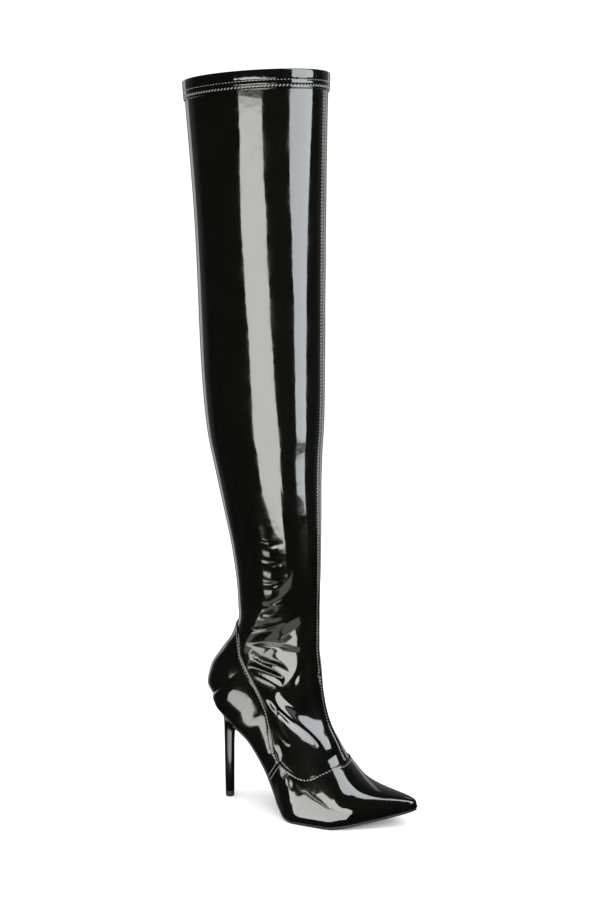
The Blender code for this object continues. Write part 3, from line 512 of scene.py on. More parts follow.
FOLDS = [Fold(view, *row) for view, rows in (
    ("outer", [
        ([(36, 190), (55, 193), (74, 200)], -0.5, 1.6, 1.6),
        ([(34, 177), (55, 179), (74, 178), (92, 172)], -0.6, 8, 2),
        ([(36, 176), (55, 178), (71, 177), (86, 172)], -0.5, 1.6, 1.6),
        ([(40, 167), (51, 160), (65, 156), (73, 152), (80, 146)], -1.0, 2.4, 2.4),
        ([(37, 154), (49, 150), (62, 146), (74, 141)], -1.6, 4.0, 3.4),
        ([(94, 160), (88, 151), (83, 139), (86, 126), (96, 112)], -0.5, 2.2, 2.2),
        ([(50, 281), (62, 278), (76, 280)], -0.2, 2.6, 2.6),
        ([(46, 262), (60, 259), (75, 261)], -0.25, 2.8, 2.8),
        ([(46, 241), (58, 238), (74, 240)], -0.3, 2.6, 2.6),
        ([(46, 219), (58, 217), (73, 218)], -0.3, 2.4, 2.4),
        ([(46, 206), (58, 204), (73, 205)], -0.3, 2.4, 2.4),
        ([(58, 126), (73, 112), (90, 97), (105, 82), (118, 66)], 4.2, 6.5, 5.0),
        ([(54, 114), (66, 94), (78, 74), (88, 62)], -0.8, 6.0, 6.0),
        ([(58, 108), (67, 90), (76, 80), (84, 80)], 0.5, 1.8, 1.8),
        ([(60, 118), (70, 104), (79, 86)], 0.4, 1.8, 1.8),
    ]),
    ("back", [
        ([(-24, 206), (-8, 199), (10, 202), (26, 207)], -0.9, 2.6, 2.6),
        ([(-20, 197), (-4, 193), (12, 194), (24, 198)], -0.7, 2.0, 2.0),
        ([(-16, 216), (2, 211), (20, 217)], -0.5, 2.8, 2.8),
    ]),
    ("inner", [
        ([(6, 210), (20, 201), (36, 206)], -0.8, 2.6, 2.6),
        ([(8, 199), (22, 193), (38, 195)], -0.7, 2.2, 2.2),
        ([(10, 222), (24, 216), (40, 221)], -0.5, 2.8, 2.8),
        ([(68, 176), (84, 148), (100, 118), (108, 96)], -0.7, 3.4, 3.4),
        ([(68, 158), (82, 132), (97, 104), (104, 84)], -0.9, 2.6, 2.6),
        ([(69, 140), (80, 117), (92, 94), (99, 76)], -0.9, 2.4, 2.4),
        ([(69, 122), (78, 104), (87, 84), (92, 70)], -0.8, 2.2, 2.2),
        ([(70, 190), (86, 180), (98, 160)], -0.6, 3.0, 3.0),
        ([(30, 172), (42, 150), (50, 128)], -0.5, 3.0, 3.0),
    ]),
) for row in rows]


def folds_at(points, normals):
    """Height of the folds at each point."""
    total = np.zeros(len(points))
    for fold in FOLDS:
        line = curve_through(np.array(fold.line) / 1000, 6)
        if fold.view in ("outer", "inner"):
            flat = points[:, [0, 2]]
            way = -1 if fold.view == "outer" else 1
            facing = smooth(0.12, 0.45, normals[:, 1] * way)
        else:
            flat = points[:, [1, 2]]
            way = -1 if fold.view == "back" else 1
            facing = smooth(0.12, 0.45, normals[:, 0] * way)
        reach = 3.2 * max(fold.before, fold.behind) / 1000
        low, high = line.min(axis=0) - reach, line.max(axis=0) + reach
        near = ((flat > low) & (flat < high)).all(axis=1) & (facing > 0)
        if not near.any():
            continue
        far, along, left = distance_to_line(flat[near], line)
        width = np.where(left, fold.before, fold.behind)
        ends = np.sin(np.clip(along, 0, 1) * math.pi) ** 0.7
        shape = np.exp(-(far * 1000 / width) ** 2)
        total[near] += fold.height / 1000 * shape * ends * facing[near]
    return total


def puckers(points):
    """Small wrinkles drawn up on both sides of the zip, in metres."""
    x, _, z = (points * 1000).T
    aside = (np.abs(zip_offset(points)) - SLOT_WIDTH / 2) * 1000
    beside = smooth(0.5, 2.5, aside) * smooth(15, 5, aside) * (points[:, 1] > 0)
    along = smooth(ZIP_BOTTOM * 1000, 70, z) * smooth(ZIP_TOP * 1000 + 8, 300, z)
    wrinkles = (np.sin(z / 1.1 + 2.2 * np.sin(z / 7 + x / 3))
                + np.sin(z / 1.9 + x / 2.1 + 2 * np.sin(z / 13)))
    return 1e-3 * 0.13 * wrinkles * beside * along


def waver(points):
    """The slight unevenness of stretched patent, in metres."""
    x, y, z = (points * 1000).T
    around = np.arctan2(y, x - 32)
    return 1e-6 * (40 * np.sin(z / 17 + 3 * np.sin(around * 2 + z / 90))
                   + 30 * np.sin(z / 9.5 + 5 * around)
                   + 44 * np.sin(around * 7 + z / 31)
                   + 7 * np.sin(z / 2.6 + 9 * around) * np.sin(z / 21 + 2 * around))


# Materials


def material(name, colour, roughness, metallic=0.0, coat=0.0):
    made = bpy.data.materials.new(name)
    made.use_nodes = True
    shader = made.node_tree.nodes["Principled BSDF"]
    shader.inputs["Base Color"].default_value = (*colour, 1)
    shader.inputs["Roughness"].default_value = roughness
    shader.inputs["Metallic"].default_value = metallic
    shader.inputs["Coat Weight"].default_value = coat
    return made


def add_node(made, kind, **values):
    node = made.node_tree.nodes.new(kind)
    for key, value in values.items():
        if key in node.inputs:
            node.inputs[key].default_value = value
        else:
            setattr(node, key, value)
    return node


def noise(made, scale, detail=2.0):
    """Noise over the object's own coordinates, in metres."""
    place = add_node(made, "ShaderNodeTexCoord")
    node = add_node(made, "ShaderNodeTexNoise", Scale=scale, Detail=detail)
    made.node_tree.links.new(place.outputs["Object"], node.inputs["Vector"])
    return node


def ramp_into(made, source, socket, low, high):
    """Drive a number socket between two values."""
    node = add_node(made, "ShaderNodeMapRange")
    node.inputs["From Min"].default_value = 0.35
    node.inputs["From Max"].default_value = 0.65
    node.inputs["To Min"].default_value = low
    node.inputs["To Max"].default_value = high
    made.node_tree.links.new(source.outputs[0], node.inputs["Value"])
    made.node_tree.links.new(node.outputs["Result"], socket)


def tint(made, source, one, other):
    """Vary the base colour between two colours."""
    node = add_node(made, "ShaderNodeMix", data_type="RGBA")
    node.inputs[6].default_value = (*one, 1)
    node.inputs[7].default_value = (*other, 1)
    shader = made.node_tree.nodes["Principled BSDF"]
    made.node_tree.links.new(source.outputs[0], node.inputs[0])
    made.node_tree.links.new(node.outputs[2], shader.inputs["Base Color"])


def bump(made, source, depth, before=None):
    """A bump of that depth in metres."""
    node = add_node(made, "ShaderNodeBump", Strength=1.0, Distance=depth)
    made.node_tree.links.new(source.outputs[0], node.inputs["Height"])
    if before is not None:
        made.node_tree.links.new(before.outputs[0], node.inputs["Normal"])
    shader = made.node_tree.nodes["Principled BSDF"]
    made.node_tree.links.new(node.outputs[0], shader.inputs["Normal"])
    return node


def patent(name, roughness=0.06, coat=1.0):
    made = material(name, (0.0016, 0.0018, 0.0013), roughness, coat=coat)
    shader = made.node_tree.nodes["Principled BSDF"]
    shader.inputs["Coat Roughness"].default_value = 0.025
    smudges = noise(made, 38, 4)
    ramp_into(made, smudges, shader.inputs["Roughness"], roughness, roughness + 0.08)
    tint(made, noise(made, 14, 3), (0.0011, 0.0012, 0.0009), (0.0022, 0.0024, 0.0018))
    wide = bump(made, noise(made, 90, 1), 0.00012)
    bump(made, noise(made, 240, 2), 0.00005, wide)
    return made


def plain(name, colour, roughness, grain, depth, metallic=0.0):
    made = material(name, colour, roughness, metallic)
    shader = made.node_tree.nodes["Principled BSDF"]
    grains = noise(made, grain, 3)
    ramp_into(made, grains, shader.inputs["Roughness"], roughness * 0.85, roughness * 1.1)
    tint(made, noise(made, grain / 6, 3), tuple(c * 0.8 for c in colour),
         tuple(c * 1.25 for c in colour))
    bump(made, grains, depth)
    return made


def woven(name, colour, pitch):
    """Cloth with a fine plain weave."""
    made = material(name, colour, 0.85)
    place = add_node(made, "ShaderNodeTexCoord")
    heights = []
    for axis in ("X", "Z"):
        wave = add_node(made, "ShaderNodeTexWave", Scale=1 / pitch / 3.2,
                        bands_direction=axis)
        made.node_tree.links.new(place.outputs["Object"], wave.inputs["Vector"])
        heights.append(wave)
    both = add_node(made, "ShaderNodeMath", operation="ADD")
    made.node_tree.links.new(heights[0].outputs["Fac"], both.inputs[0])
    made.node_tree.links.new(heights[1].outputs["Fac"], both.inputs[1])
    tint(made, noise(made, 300, 3), tuple(c * 0.7 for c in colour),
         tuple(c * 1.4 for c in colour))
    bump(made, both, 0.00008)
    return made


PATENT = patent("black_patent")
HEEL_GLOSS = patent("heel_gloss", 0.16, 0.2)
SOLE_BLACK = plain("sole_black", (0.012, 0.012, 0.011), 0.42, 900, 0.00004)
TIP_RUBBER = plain("heel_tip_rubber", (0.014, 0.014, 0.014), 0.55, 1500, 0.00004)
# Black thread: its light grey base colour is painted highlight, so the stitches show as light dots
THREAD_PAINTED_HIGHLIGHT = plain("thread", (0.17, 0.17, 0.16), 0.22, 3000, 0.00002)
METAL = plain("zip_metal_black", (0.035, 0.035, 0.036), 0.24, 1200, 0.00001, 1.0)
LINING = woven("lining", (0.018, 0.018, 0.017), 0.0009)
INSOLE_CLOTH = woven("insole_cloth", (0.030, 0.029, 0.027), 0.0011)
TAPE_CLOTH = woven("zip_cloth", (0.009, 0.009, 0.009), 0.0007)


# Objects


def mesh_object(name, points, faces, finish, body="boot", stands_for=()):
    mesh = bpy.data.meshes.new(name)
    mesh.from_pydata(np.asarray(points).tolist(), [],
                     [list(map(int, face)) for face in faces])
    mesh.materials.append(finish)
    mesh.shade_smooth()
    item = bpy.data.objects.new(name, mesh)
    bpy.context.scene.collection.objects.link(item)
    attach(item, body)
    if stands_for:
        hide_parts(*stands_for)
    return item


def loft(rings, closed=True, caps=False):
    """Points and faces through rings of the same number of points."""
    rings = [np.asarray(ring) for ring in rings]
    count = len(rings[0])
    points = np.vstack(rings)
    faces = []
    across = count if closed else count - 1
    for row in range(len(rings) - 1):
        for index in range(across):
            following = (index + 1) % count
            faces.append((row * count + index, row * count + following,
                          (row + 1) * count + following, (row + 1) * count + index))
    if caps:
        faces.append(tuple(range(count))[::-1])
        faces.append(tuple(range(len(points) - count, len(points))))
    return points, faces


def filled(points, faces, normals, weight, rounds=110):
    """Fill the hollow of a crease where the weight is near 1. Nothing moves inward."""
    corners = faces.shape[1]
    sides = np.vstack([faces[:, [k, (k + 1) % corners]] for k in range(corners)])
    sides = np.sort(sides[sides[:, 0] != sides[:, 1]], axis=1)
    pairs, counts = np.unique(sides, axis=0, return_counts=True)
    rim = np.zeros(len(points), bool)
    rim[pairs[counts == 1]] = True
    weight = np.where(rim, 0, weight)
    ways = np.vstack([pairs, pairs[:, ::-1]])
    ways = ways[weight[ways[:, 0]] > 0.01]
    number = np.maximum(np.bincount(ways[:, 0], minlength=len(points)), 1)
    for _ in range(rounds):
        middle = np.stack([np.bincount(ways[:, 0], points[ways[:, 1], k], len(points))
                           for k in range(3)], -1) / number[:, None]
        rise = np.clip(((middle - points) * normals).sum(axis=1), 0, None) * (weight > 0.01)
        points = points + normals * (rise * 0.8 * weight)[:, None]
    return points


def patch_object(name, params, faces, offset, finish, stands_for=(), extra=None,
                 ease=None):
    """A piece that follows the upper's face at the offset that a function gives."""
    base = surface(params[:, 0], params[:, 1])
    first, faces = weld(base, faces)
    base = base[first]
    normals = vertex_normals(base, faces)
    moved = base + normals * offset(base, normals)[:, None]
    if ease is not None:
        moved = filled(moved, faces, normals, ease(base))
    if extra is not None:
        more, more_faces = extra(base, moved, normals, params[first])
        faces = [tuple(face) for face in faces.tolist()]
        faces += [tuple(index + len(moved) if index >= 0 else -1 - index for index in face)
                  for face in more_faces]
        moved = np.vstack([moved, more])
    return mesh_object(name, moved, faces, finish, stands_for=stands_for)


STITCHES = {}


def lengths_along(line):
    """Length travelled from the start at each point of a line."""
    return np.concatenate([[0], np.cumsum(np.linalg.norm(np.diff(line, axis=0), axis=1))])


def along_line(places, travelled, values):
    """The values of a line's points, read at other lengths along it."""
    return np.stack([np.interp(places, travelled, column) for column in values.T], -1)


def stitch_row(group, line, normals, length, pitch, thick, slant=0.0):
    """Short raised threads along a line on the surface."""
    travelled = lengths_along(line)
    count = int(travelled[-1] / pitch)
    places = (np.arange(count) + 0.5) * travelled[-1] / max(count, 1)
    spots = along_line(places, travelled, line)
    outs = along_line(places, travelled, normals)
    ways = (along_line(places + pitch / 4, travelled, line)
            - along_line(places - pitch / 4, travelled, line))
    ways /= np.maximum(np.linalg.norm(ways, axis=1, keepdims=True), 1e-9)
    outs -= ways * (outs * ways).sum(axis=1, keepdims=True)
    outs /= np.linalg.norm(outs, axis=1, keepdims=True)
    sides = np.cross(outs, ways)
    turned = ways * math.cos(slant) + sides * math.sin(slant)
    sides = np.cross(outs, turned)
    points, faces = STITCHES.setdefault(group, ([], []))
    rings = np.linspace(0, math.pi, 6)[1:-1]
    turns = np.arange(6) * math.pi / 3
    for spot, way, side, out in zip(spots, turned, sides, outs):
        start = sum(len(item) for item in points)
        centre = spot
        ball = [centre - way * length / 2]
        for ring in rings:
            for turn in turns:
                wide = math.sin(ring) ** 0.6 * thick
                ball.append(centre - way * math.cos(ring) * length / 2
                            + side * math.cos(turn) * wide + out * math.sin(turn) * wide)
        ball.append(centre + way * length / 2)
        points.append(np.array(ball))
        for k in range(6):
            faces.append((start, start + 1 + (k + 1) % 6, start + 1 + k))
            for row in range(3):
                a = start + 1 + row * 6
                faces.append((a + k, a + (k + 1) % 6, a + 6 + (k + 1) % 6, a + 6 + k))
            last = start + 19
            faces.append((last + k, last + (k + 1) % 6, start + 25))


def place_stitches():
    for group, (points, faces) in STITCHES.items():
        mesh_object(group, np.vstack(points), faces, THREAD_PAINTED_HIGHLIGHT)


# The upper's skin, from the instep to the collar


EDGE = 0.0010
SKIN_FIRST = 5.4


def skin():
    stations = spaced_stations(SKIN_FIRST, COLLAR - 0.02, 0.0016, 0.0032)
    params, faces = grid(stations, np.linspace(-1, 1, 177))
    base = surface(params[:, 0], params[:, 1])
    hidden = np.maximum(vamp_depth(base), counter_depth(base)) > 0.004
    faces = faces[~hidden[faces].all(axis=1)]
    params, faces, _ = cut(params, faces, slot_depth(base), True)

    def offset(base, normals):
        covered = np.maximum(vamp_depth(base), counter_depth(base))
        clear = smooth(0.0005, -0.006, covered)
        under = smooth(-0.0005, 0.0015, covered)
        slot = slot_depth(base)
        rolled = -0.0012 * (1 - smooth(0, 0.0012, slot))
        return ((folds_at(base, normals) + puckers(base)) * clear + waver(base) + rolled
                - 0.0004 * under)

    patch_object("shaft_skin", params, faces, offset, PATENT, ["upper"])


def overlay(name, depth, first, last, stitch_at, stands_for, cap=False, ease=None):
    """A piece laid over the skin, with a rounded edge and a row of stitches near it."""
    stations = spaced_stations(first, last, 0.0014)
    params, faces = grid(stations, np.linspace(-1, 1, 161))
    levels = [0.0, 0.00015, 0.0004, 0.0008, 0.0012]
    for number, level in enumerate(levels):
        value = depth(surface(params[:, 0], params[:, 1])) - level
        params, faces, _ = cut(params, faces, value, number == 0)
    params, faces, pairs = cut(params, faces, depth(surface(params[:, 0], params[:, 1]))
                               - stitch_at, False)
    thickness = GAP + OVERLAY

    def offset(base, normals):
        inside = depth(base)
        rounded = np.sqrt(np.clip(1 - (1 - np.clip(inside / EDGE, 0, 1)) ** 2, 0, 1))
        groove = 0.00022 * np.exp(-((inside - stitch_at) / 0.0005) ** 2)
        return thickness * rounded - groove + 0.6 * waver(base)

    lines = chains(pairs)
    for line in lines:
        spots = params[line]
        points = surface(spots[:, 0], spots[:, 1])
        outs = outward(spots[:, 0], np.clip(spots[:, 1], -0.985, 0.985))
        off = thickness - 0.00012
        stitch_row("stitches_%s" % name, points + outs * off, outs, 0.0017, 0.0033, 0.00060)
    extra = toe_cap if cap else None
    patch_object("%s_skin" % name, params, faces, offset, PATENT,
                 stands_for, extra, ease)


def toe_cap(base, moved, normals, params):
    """Close the toe's tip with a small dome."""
    ring = np.where(params[:, 0] <= params[:, 0].min() + 1e-9)[0]
    ring = ring[np.argsort(params[ring, 1])]
    rim = moved[ring]
    centre = rim.mean(axis=0)
    more, faces = [], []
    before = [-1 - index for index in ring]
    for share in (0.3, 0.6, 0.85):
        turn = share * math.pi / 2
        points = centre + (rim - centre) * math.cos(turn)
        points[:, 0] += 0.0013 * math.sin(turn)
        here = [len(more) + index for index in range(len(ring))]
        more += points.tolist()
        for index in range(len(ring)):
            following = (index + 1) % len(ring)
            faces.append((before[following], before[index], here[index], here[following]))
        before = here
    faces.append(tuple(before))
    return np.array(more), faces


SEAT_CREASE = np.array([(-13, 0, 110), (-12, 9, 111), (-10.5, 15, 113), (-6, 20, 116),
                        (-1, 24, 120), (6, 28, 126)]) / 1000


def at_seat(base):
    """1 along the crease over the seat, where the round back turns into the sides."""
    mirrored = np.abs(base[:, 1])
    near = np.full(len(base), FAR)
    for first, last in zip(SEAT_CREASE[:-1], SEAT_CREASE[1:]):
        spots = np.column_stack([base[:, 0], mirrored, base[:, 2]]) - first
        way = last - first
        along = np.clip(spots @ way / (way @ way), 0, 1)
        near = np.minimum(near, np.linalg.norm(spots - along[:, None] * way, axis=1))
    return np.exp(-(near / 0.008) ** 2) * smooth(0.003, 0.007, counter_depth(base))


skin()
overlay("vamp", vamp_depth, 0.0, 12.6, 0.0019, ["vamp"], cap=True)
overlay("counter", counter_depth, 8.0, 25.6, 0.0019, ["counter"], ease=at_seat)


def lining():
    stations = spaced_stations(6.0, COLLAR - 0.05, 0.006)
    params, faces = grid(stations, np.linspace(-1, 1, 97))
    faces = faces[:, ::-1]

    def offset(base, normals):
        return np.full(len(base), WALL + 0.0002)

    patch_object("lining", params, faces, offset, LINING)


lining()


RING_COLUMNS = 240        # points round the collar
LAST_RISE = ROWS[COLLAR, 3] - ROWS[COLLAR - 1, 3]    # height of the last section


def ring_at(depth, offset, rise=0.0, columns=RING_COLUMNS):
    """A ring round the collar, this far below its rim and out from the skin."""
    around = np.linspace(-1, 1, columns, endpoint=False)
    station = np.full(columns, COLLAR - np.broadcast_to(depth, columns) / LAST_RISE)
    around = np.where(np.abs(around) > 0.999, -0.999, around)
    points = surface(station, around) + outward(station, around) * np.broadcast_to(
        offset, columns)[:, None]
    points[:, 2] += rise
    return points


def cuff():
    outer, inner = GAP + HEM, WALL + GAP + HEM
    column = np.arange(RING_COLUMNS)
    beat = np.sin(column * 2 * math.pi * 34 / RING_COLUMNS) * np.cos(
        column * 2 * math.pi * 21 / RING_COLUMNS)
    rings = []
    for depth, out in ((CUFF_HEIGHT + 0.0002, 0.0001), (CUFF_HEIGHT, 0.0006),
                       (CUFF_HEIGHT - 0.0003, 0.0010), (CUFF_HEIGHT - 0.0008, outer),
                       (CUFF_HEIGHT - 0.0013, outer - 0.0004),
                       (CUFF_HEIGHT - 0.0031, outer - 0.0004), (0.0128, outer),
                       (0.0118, outer + 0.0002), (0.0100, outer + 0.0001),
                       (0.0095, outer - 0.0003), (0.0085, outer - 0.0003),
                       (0.0080, outer + 0.0001), (0.0068, outer + 0.0002),
                       (0.0045, outer + 0.0002),
                       (0.0020, outer + 0.0001)):
        waves = beat * 0.00016 * math.sin(min(depth / CUFF_HEIGHT, 1) * math.pi)
        rings.append(ring_at(depth, out + waves))
    middle = (outer - inner) / 2
    half = (outer + inner) / 2
    for turn in np.linspace(0, math.pi, 9):
        rings.append(ring_at(0, middle + half * math.cos(turn),
                             (GAP + HEM) * math.sin(turn)))
    for depth in (0.003, 0.008, CUFF_INSIDE - 0.0006):
        rings.append(ring_at(depth, -inner))
    rings.append(ring_at(CUFF_INSIDE, -WALL - 0.0002))
    points, faces = loft(rings)
    mesh_object("cuff_hem", points, [face[::-1] for face in faces], PATENT,
                stands_for=["cuff"])
    for group, depth, length, pitch, thick, slant in (
            ("stitches_cuff_bold", CUFF_HEIGHT - 0.0022, 0.0027, 0.0034, 0.00060, 0.7),
            ("stitches_cuff_fine", 0.0090, 0.0014, 0.0032, 0.00046, 0.0)):
        line = ring_at(depth, outer - 0.0002)
        line = np.vstack([line, line[:1]])
        around = ring_at(depth, outer + 0.001)
        outs = np.vstack([around, around[:1]]) - line
        stitch_row(group, line, outs / np.linalg.norm(outs, axis=1, keepdims=True), length,
                   pitch, thick, slant=slant)


cuff()


def front_seam():
    stations = spaced_stations(BAND_START, COLLAR - (CUFF_HEIGHT + GAP) / LAST_RISE, 0.0016, 0.003)
    rows = rows_at(stations)
    fade = smooth(BAND_END + 1, BAND_END, stations)
    width = SEAM_WIDTH + (BAND_WIDTH - SEAM_WIDTH) * fade
    reach = (width / 2 / rows[:, 4]) ** (1 / rows[:, 9]) / math.pi
    shape = np.array([-1, -0.97, -0.85, -0.6, -0.3, 0, 0.3, 0.6, 0.85, 0.97, 1])
    around = reach[:, None] * shape[None, :]
    spots = np.repeat(stations[:, None], len(shape), axis=1)
    rise = np.sqrt(np.clip(1 - np.abs(shape) ** 6, 0, 1))
    plump = np.where(fade[:, None] > 0.5, 1, np.sqrt(np.clip(1 - shape ** 2 * 0.8, 0, 1)))
    height = (GAP + SEAM_THICKNESS) * rise[None, :] * plump - 0.0002
    points = surface(spots, around) + outward(spots, around) * height[..., None]
    made, faces = loft(list(points), closed=False)
    mesh_object("front_seam_ridge", made, faces, PATENT,
                stands_for=["front_seam"])
    for side in (-1, 1):
        share = np.where(fade > 0.5, 0.72, 1.9)
        at = reach * share * side
        line = surface(stations, at)
        outs = outward(stations, at)
        lift = np.where(fade > 0.5, GAP + SEAM_THICKNESS - 0.0002, 0.00015)
        stitch_row("stitches_front", line + outs * lift[:, None], outs, 0.0015, 0.0031,
                   0.00042)


front_seam()


# Sole, heel and tip


BREAST_X = BREAST * FOOT_LENGTH - HEEL_SETBACK    # front of the heel seat


def sole_path(first=0.0, last=None, step=0.001):
    """X, Z, outer Y, inner Y and length along the sole from the toe to the seat's back."""
    last = SEAT_BACK if last is None else last
    stations = np.linspace(first, last, 1200)
    rows = rows_at(stations)
    travelled = lengths_along(rows[:, :2])
    even = np.linspace(0, travelled[-1], int(travelled[-1] / step) + 1)

    def along(values):
        return np.interp(even, travelled, values)
    return (along(rows[:, 0]), along(rows[:, 1]), along(rows[:, 7] - rows[:, 6]),
            along(rows[:, 7] + rows[:, 6] * rows[:, 8]), even)


def outsole():
    x, z, outer, inner, length = sole_path()
    keep = x > BREAST_X + GAP
    x, z, outer, inner, length = (v[keep] for v in (x, z, outer, inner, length))
    slope = np.stack([np.gradient(x, length), np.gradient(z, length)], -1)
    slope /= np.linalg.norm(slope, axis=1, keepdims=True)
    down = np.stack([-slope[:, 1], slope[:, 0]], -1)
    rings = []
    profile = [(0.0, -0.0006), (0.0, 0.0011), (0.12, 0.0016), (0.35, 0.00175),
               (0.70, 0.0015), (0.93, 0.0008), (1.0, -0.0006)]
    for index in range(len(x)):
        ends = smooth(0, 0.008, length[index] + 0.002)
        ring = []
        for side, edge, way in ((0, outer[index], -1), (1, inner[index], 1)):
            points = []
            for share, out in profile:
                drop = GAP * 0.3 + (OUTSOLE + GAP * 0.7) * share
                spot = np.array([x[index], z[index]]) + down[index] * drop
                points.append((spot[0], edge + way * out * (0.5 + 0.5 * ends), spot[1]))
            ring += points if side == 0 else points[::-1]
        rings.append(np.array(ring))
    tip = rings[0]
    centre = tip.mean(axis=0)
    nose = []
    for share in (0.9, 0.6, 0.3):
        turn = share * math.pi / 2
        moved = tip.copy()
        moved[:, 1] = centre[1] + (moved[:, 1] - centre[1]) * math.cos(turn) ** 0.8
        moved[:, 0] += 0.0012 * math.sin(turn)
        moved[:, 2] = centre[2] + (moved[:, 2] - centre[2]) * (1 - 0.15 * share)
        nose.append(moved)
    points, faces = loft(nose + rings, caps=True)
    mesh_object("outsole_edge", points, [face[::-1] for face in faces], SOLE_BLACK,
                stands_for=["outsole"])


outsole()


def heel():
    x, z, outer, inner, length = sole_path(step=0.0006)
    keep = x <= BREAST_X
    run, half = length[keep], ((inner - outer) / 2)[keep]
    way = np.concatenate([run, run[-2::-1]])
    side = np.concatenate([-half, half[-2::-1]])
    tangent = np.stack([np.gradient(way), np.gradient(side)], -1)
    tangent /= np.linalg.norm(tangent, axis=1, keepdims=True)
    edge = np.stack([way, side], -1) + SOLE_EDGE * np.stack([tangent[:, 1], -tangent[:, 0]],
                                                            -1)
    travelled = lengths_along(edge)
    even = np.linspace(0, travelled[-1], 73)
    rim = along_line(even, travelled, edge)
    front = np.linspace(rim[-1], rim[0], 24)[1:-1]
    outline = np.vstack([rim, front])
    seat = np.stack([np.interp(outline[:, 0], length, x), np.interp(outline[:, 0], length, z)
                     - GAP], -1)
    beyond = np.maximum(outline[:, 0] - length[-1], 0)
    step = np.array([x[-1] - x[-40], z[-1] - z[-40]])
    step /= np.linalg.norm(step)
    seat += beyond[:, None] * step
    top = np.column_stack([seat[:, 0], outline[:, 1], seat[:, 1]])
    back_x, front_x = top[:, 0].min(), top[:, 0].max()
    back_z, front_z = top[:, 2].max(), top[:, 2].min()
    seat_half = top[:, 1].max()
    across = (top[:, 0] - (back_x + front_x) / 2) / ((front_x - back_x) / 2)
    aside = top[:, 1] / seat_half
    angle = np.arctan2(aside, across)
    foot = HEEL_TIP_HEIGHT + GAP * 0.3

    def stem(height):
        share = (height - foot) / (back_z - foot)
        return HEEL_TIP_WIDTH / 2 + (STEM_WIDTH - HEEL_TIP_WIDTH) / 2 * share
    keys = np.array([(1.0, 1.0, 1.0, 1.0, 1.0, 0.0)] + [tuple(flare) for flare in HEEL_FLARES]
                    + [(foot / back_z, foot / front_z, 0, 0, 0, 1)])
    slopes = smooth_slopes(keys)
    rings = []
    for step in np.concatenate([np.linspace(0, 5, 50), np.linspace(5, len(keys) - 1, 24)[1:]]):
        first = min(int(step), len(keys) - 2)
        part = step - first
        row = (keys[first] * (1 + 2 * part) * (1 - part) ** 2
               + slopes[first] * part * (1 - part) ** 2
               + keys[first + 1] * part ** 2 * (3 - 2 * part)
               + slopes[first + 1] * part ** 2 * (part - 1))
        high, low = row[0] * back_z, row[1] * front_z
        thin = stem((high + low) / 2)
        back = -thin + (back_x + thin) * row[2]
        ahead = thin + (front_x - thin) * row[3]
        half_width = thin + (seat_half - thin) * row[4]
        along = across + (np.cos(angle) - across) * row[5]
        beside = aside + (np.sin(angle) - aside) * row[5]
        share = (along + 1) / 2
        ring = np.column_stack([back + (ahead - back) * share, half_width * beside,
                                high + (low - high) * share])
        blend = smooth(0, 1, step)
        rings.append(top * (1 - blend) + ring * blend if step < 1 else ring)
    collar = top.mean(axis=0) + (top - top.mean(axis=0)) * (0.97, 0.96, 1)
    collar[:, 2] += 0.0030
    points, faces = loft([collar] + rings, caps=True)
    mesh_object("heel_cover", points, faces, HEEL_GLOSS,
                stands_for=["heel"])


heel()


def heel_tip():
    rings = []
    wide, low = HEEL_TIP_WIDTH / 2, HEEL_TIP_WIDTH / 2 - GAP
    for height, radius in ((0, low - 0.0004), (0.0002, low - 0.0001), (0.0005, low),
                           (HEEL_TIP_HEIGHT - 0.0003, wide), (HEEL_TIP_HEIGHT, wide - 0.0003)):
        turn = np.linspace(0, 2 * math.pi, 64, endpoint=False)
        rings.append(np.column_stack([radius * np.cos(turn), radius * np.sin(turn),
                                      np.full(64, height)]))
    points, faces = loft(rings, caps=True)
    mesh_object("heel_tip_piece", points, faces, TIP_RUBBER,
                stands_for=["heel_tip"])


heel_tip()


# The zip


def side_spot(x, z, start=0.5):
    """Station and place around of points on the inner side with this X and Z."""
    x, z = np.asarray(x, dtype=float), np.asarray(z, dtype=float)
    station = np.full(x.shape, float(FOOT_END))
    around = np.full(x.shape, start)
    tiny = 1e-4
    goal = np.stack([x, z], -1)
    for _ in range(60):
        here = surface(station, around)[..., [0, 2]]
        by_station = (surface(station + tiny, around)[..., [0, 2]] - here) / tiny
        by_around = (surface(station, around + tiny)[..., [0, 2]] - here) / tiny
        matrix = np.stack([by_station, by_around], -1)
        change = np.linalg.solve(matrix, (goal - here)[..., None])[..., 0]
        station = station + np.clip(change[..., 0], -0.6, 0.6)
        around = np.clip(around + np.clip(change[..., 1], -0.06, 0.06), 0.05, 0.96)
    return station, around


# Rows of stitches round the zip and its panel: group, distance from the zip's middle, and
# how far above the zip's lower and upper end they start and stop

ZIP_ROWS = [("stitches_zip", SLOT_WIDTH / 2 + 0.0022, 0.004, 0.004),
            ("stitches_panel", 0.0205, 0.075, 0.019)]


def zip_row(group, z, away):
    """A row of stitches at these heights and this far from the zip's middle."""
    station, around = side_spot(zip_middle(z) + away, z)
    line, outs = surface(station, around), outward(station, around)
    stitch_row(group, line + outs * 0.0002, outs, 0.0015, 0.0027, 0.00034)


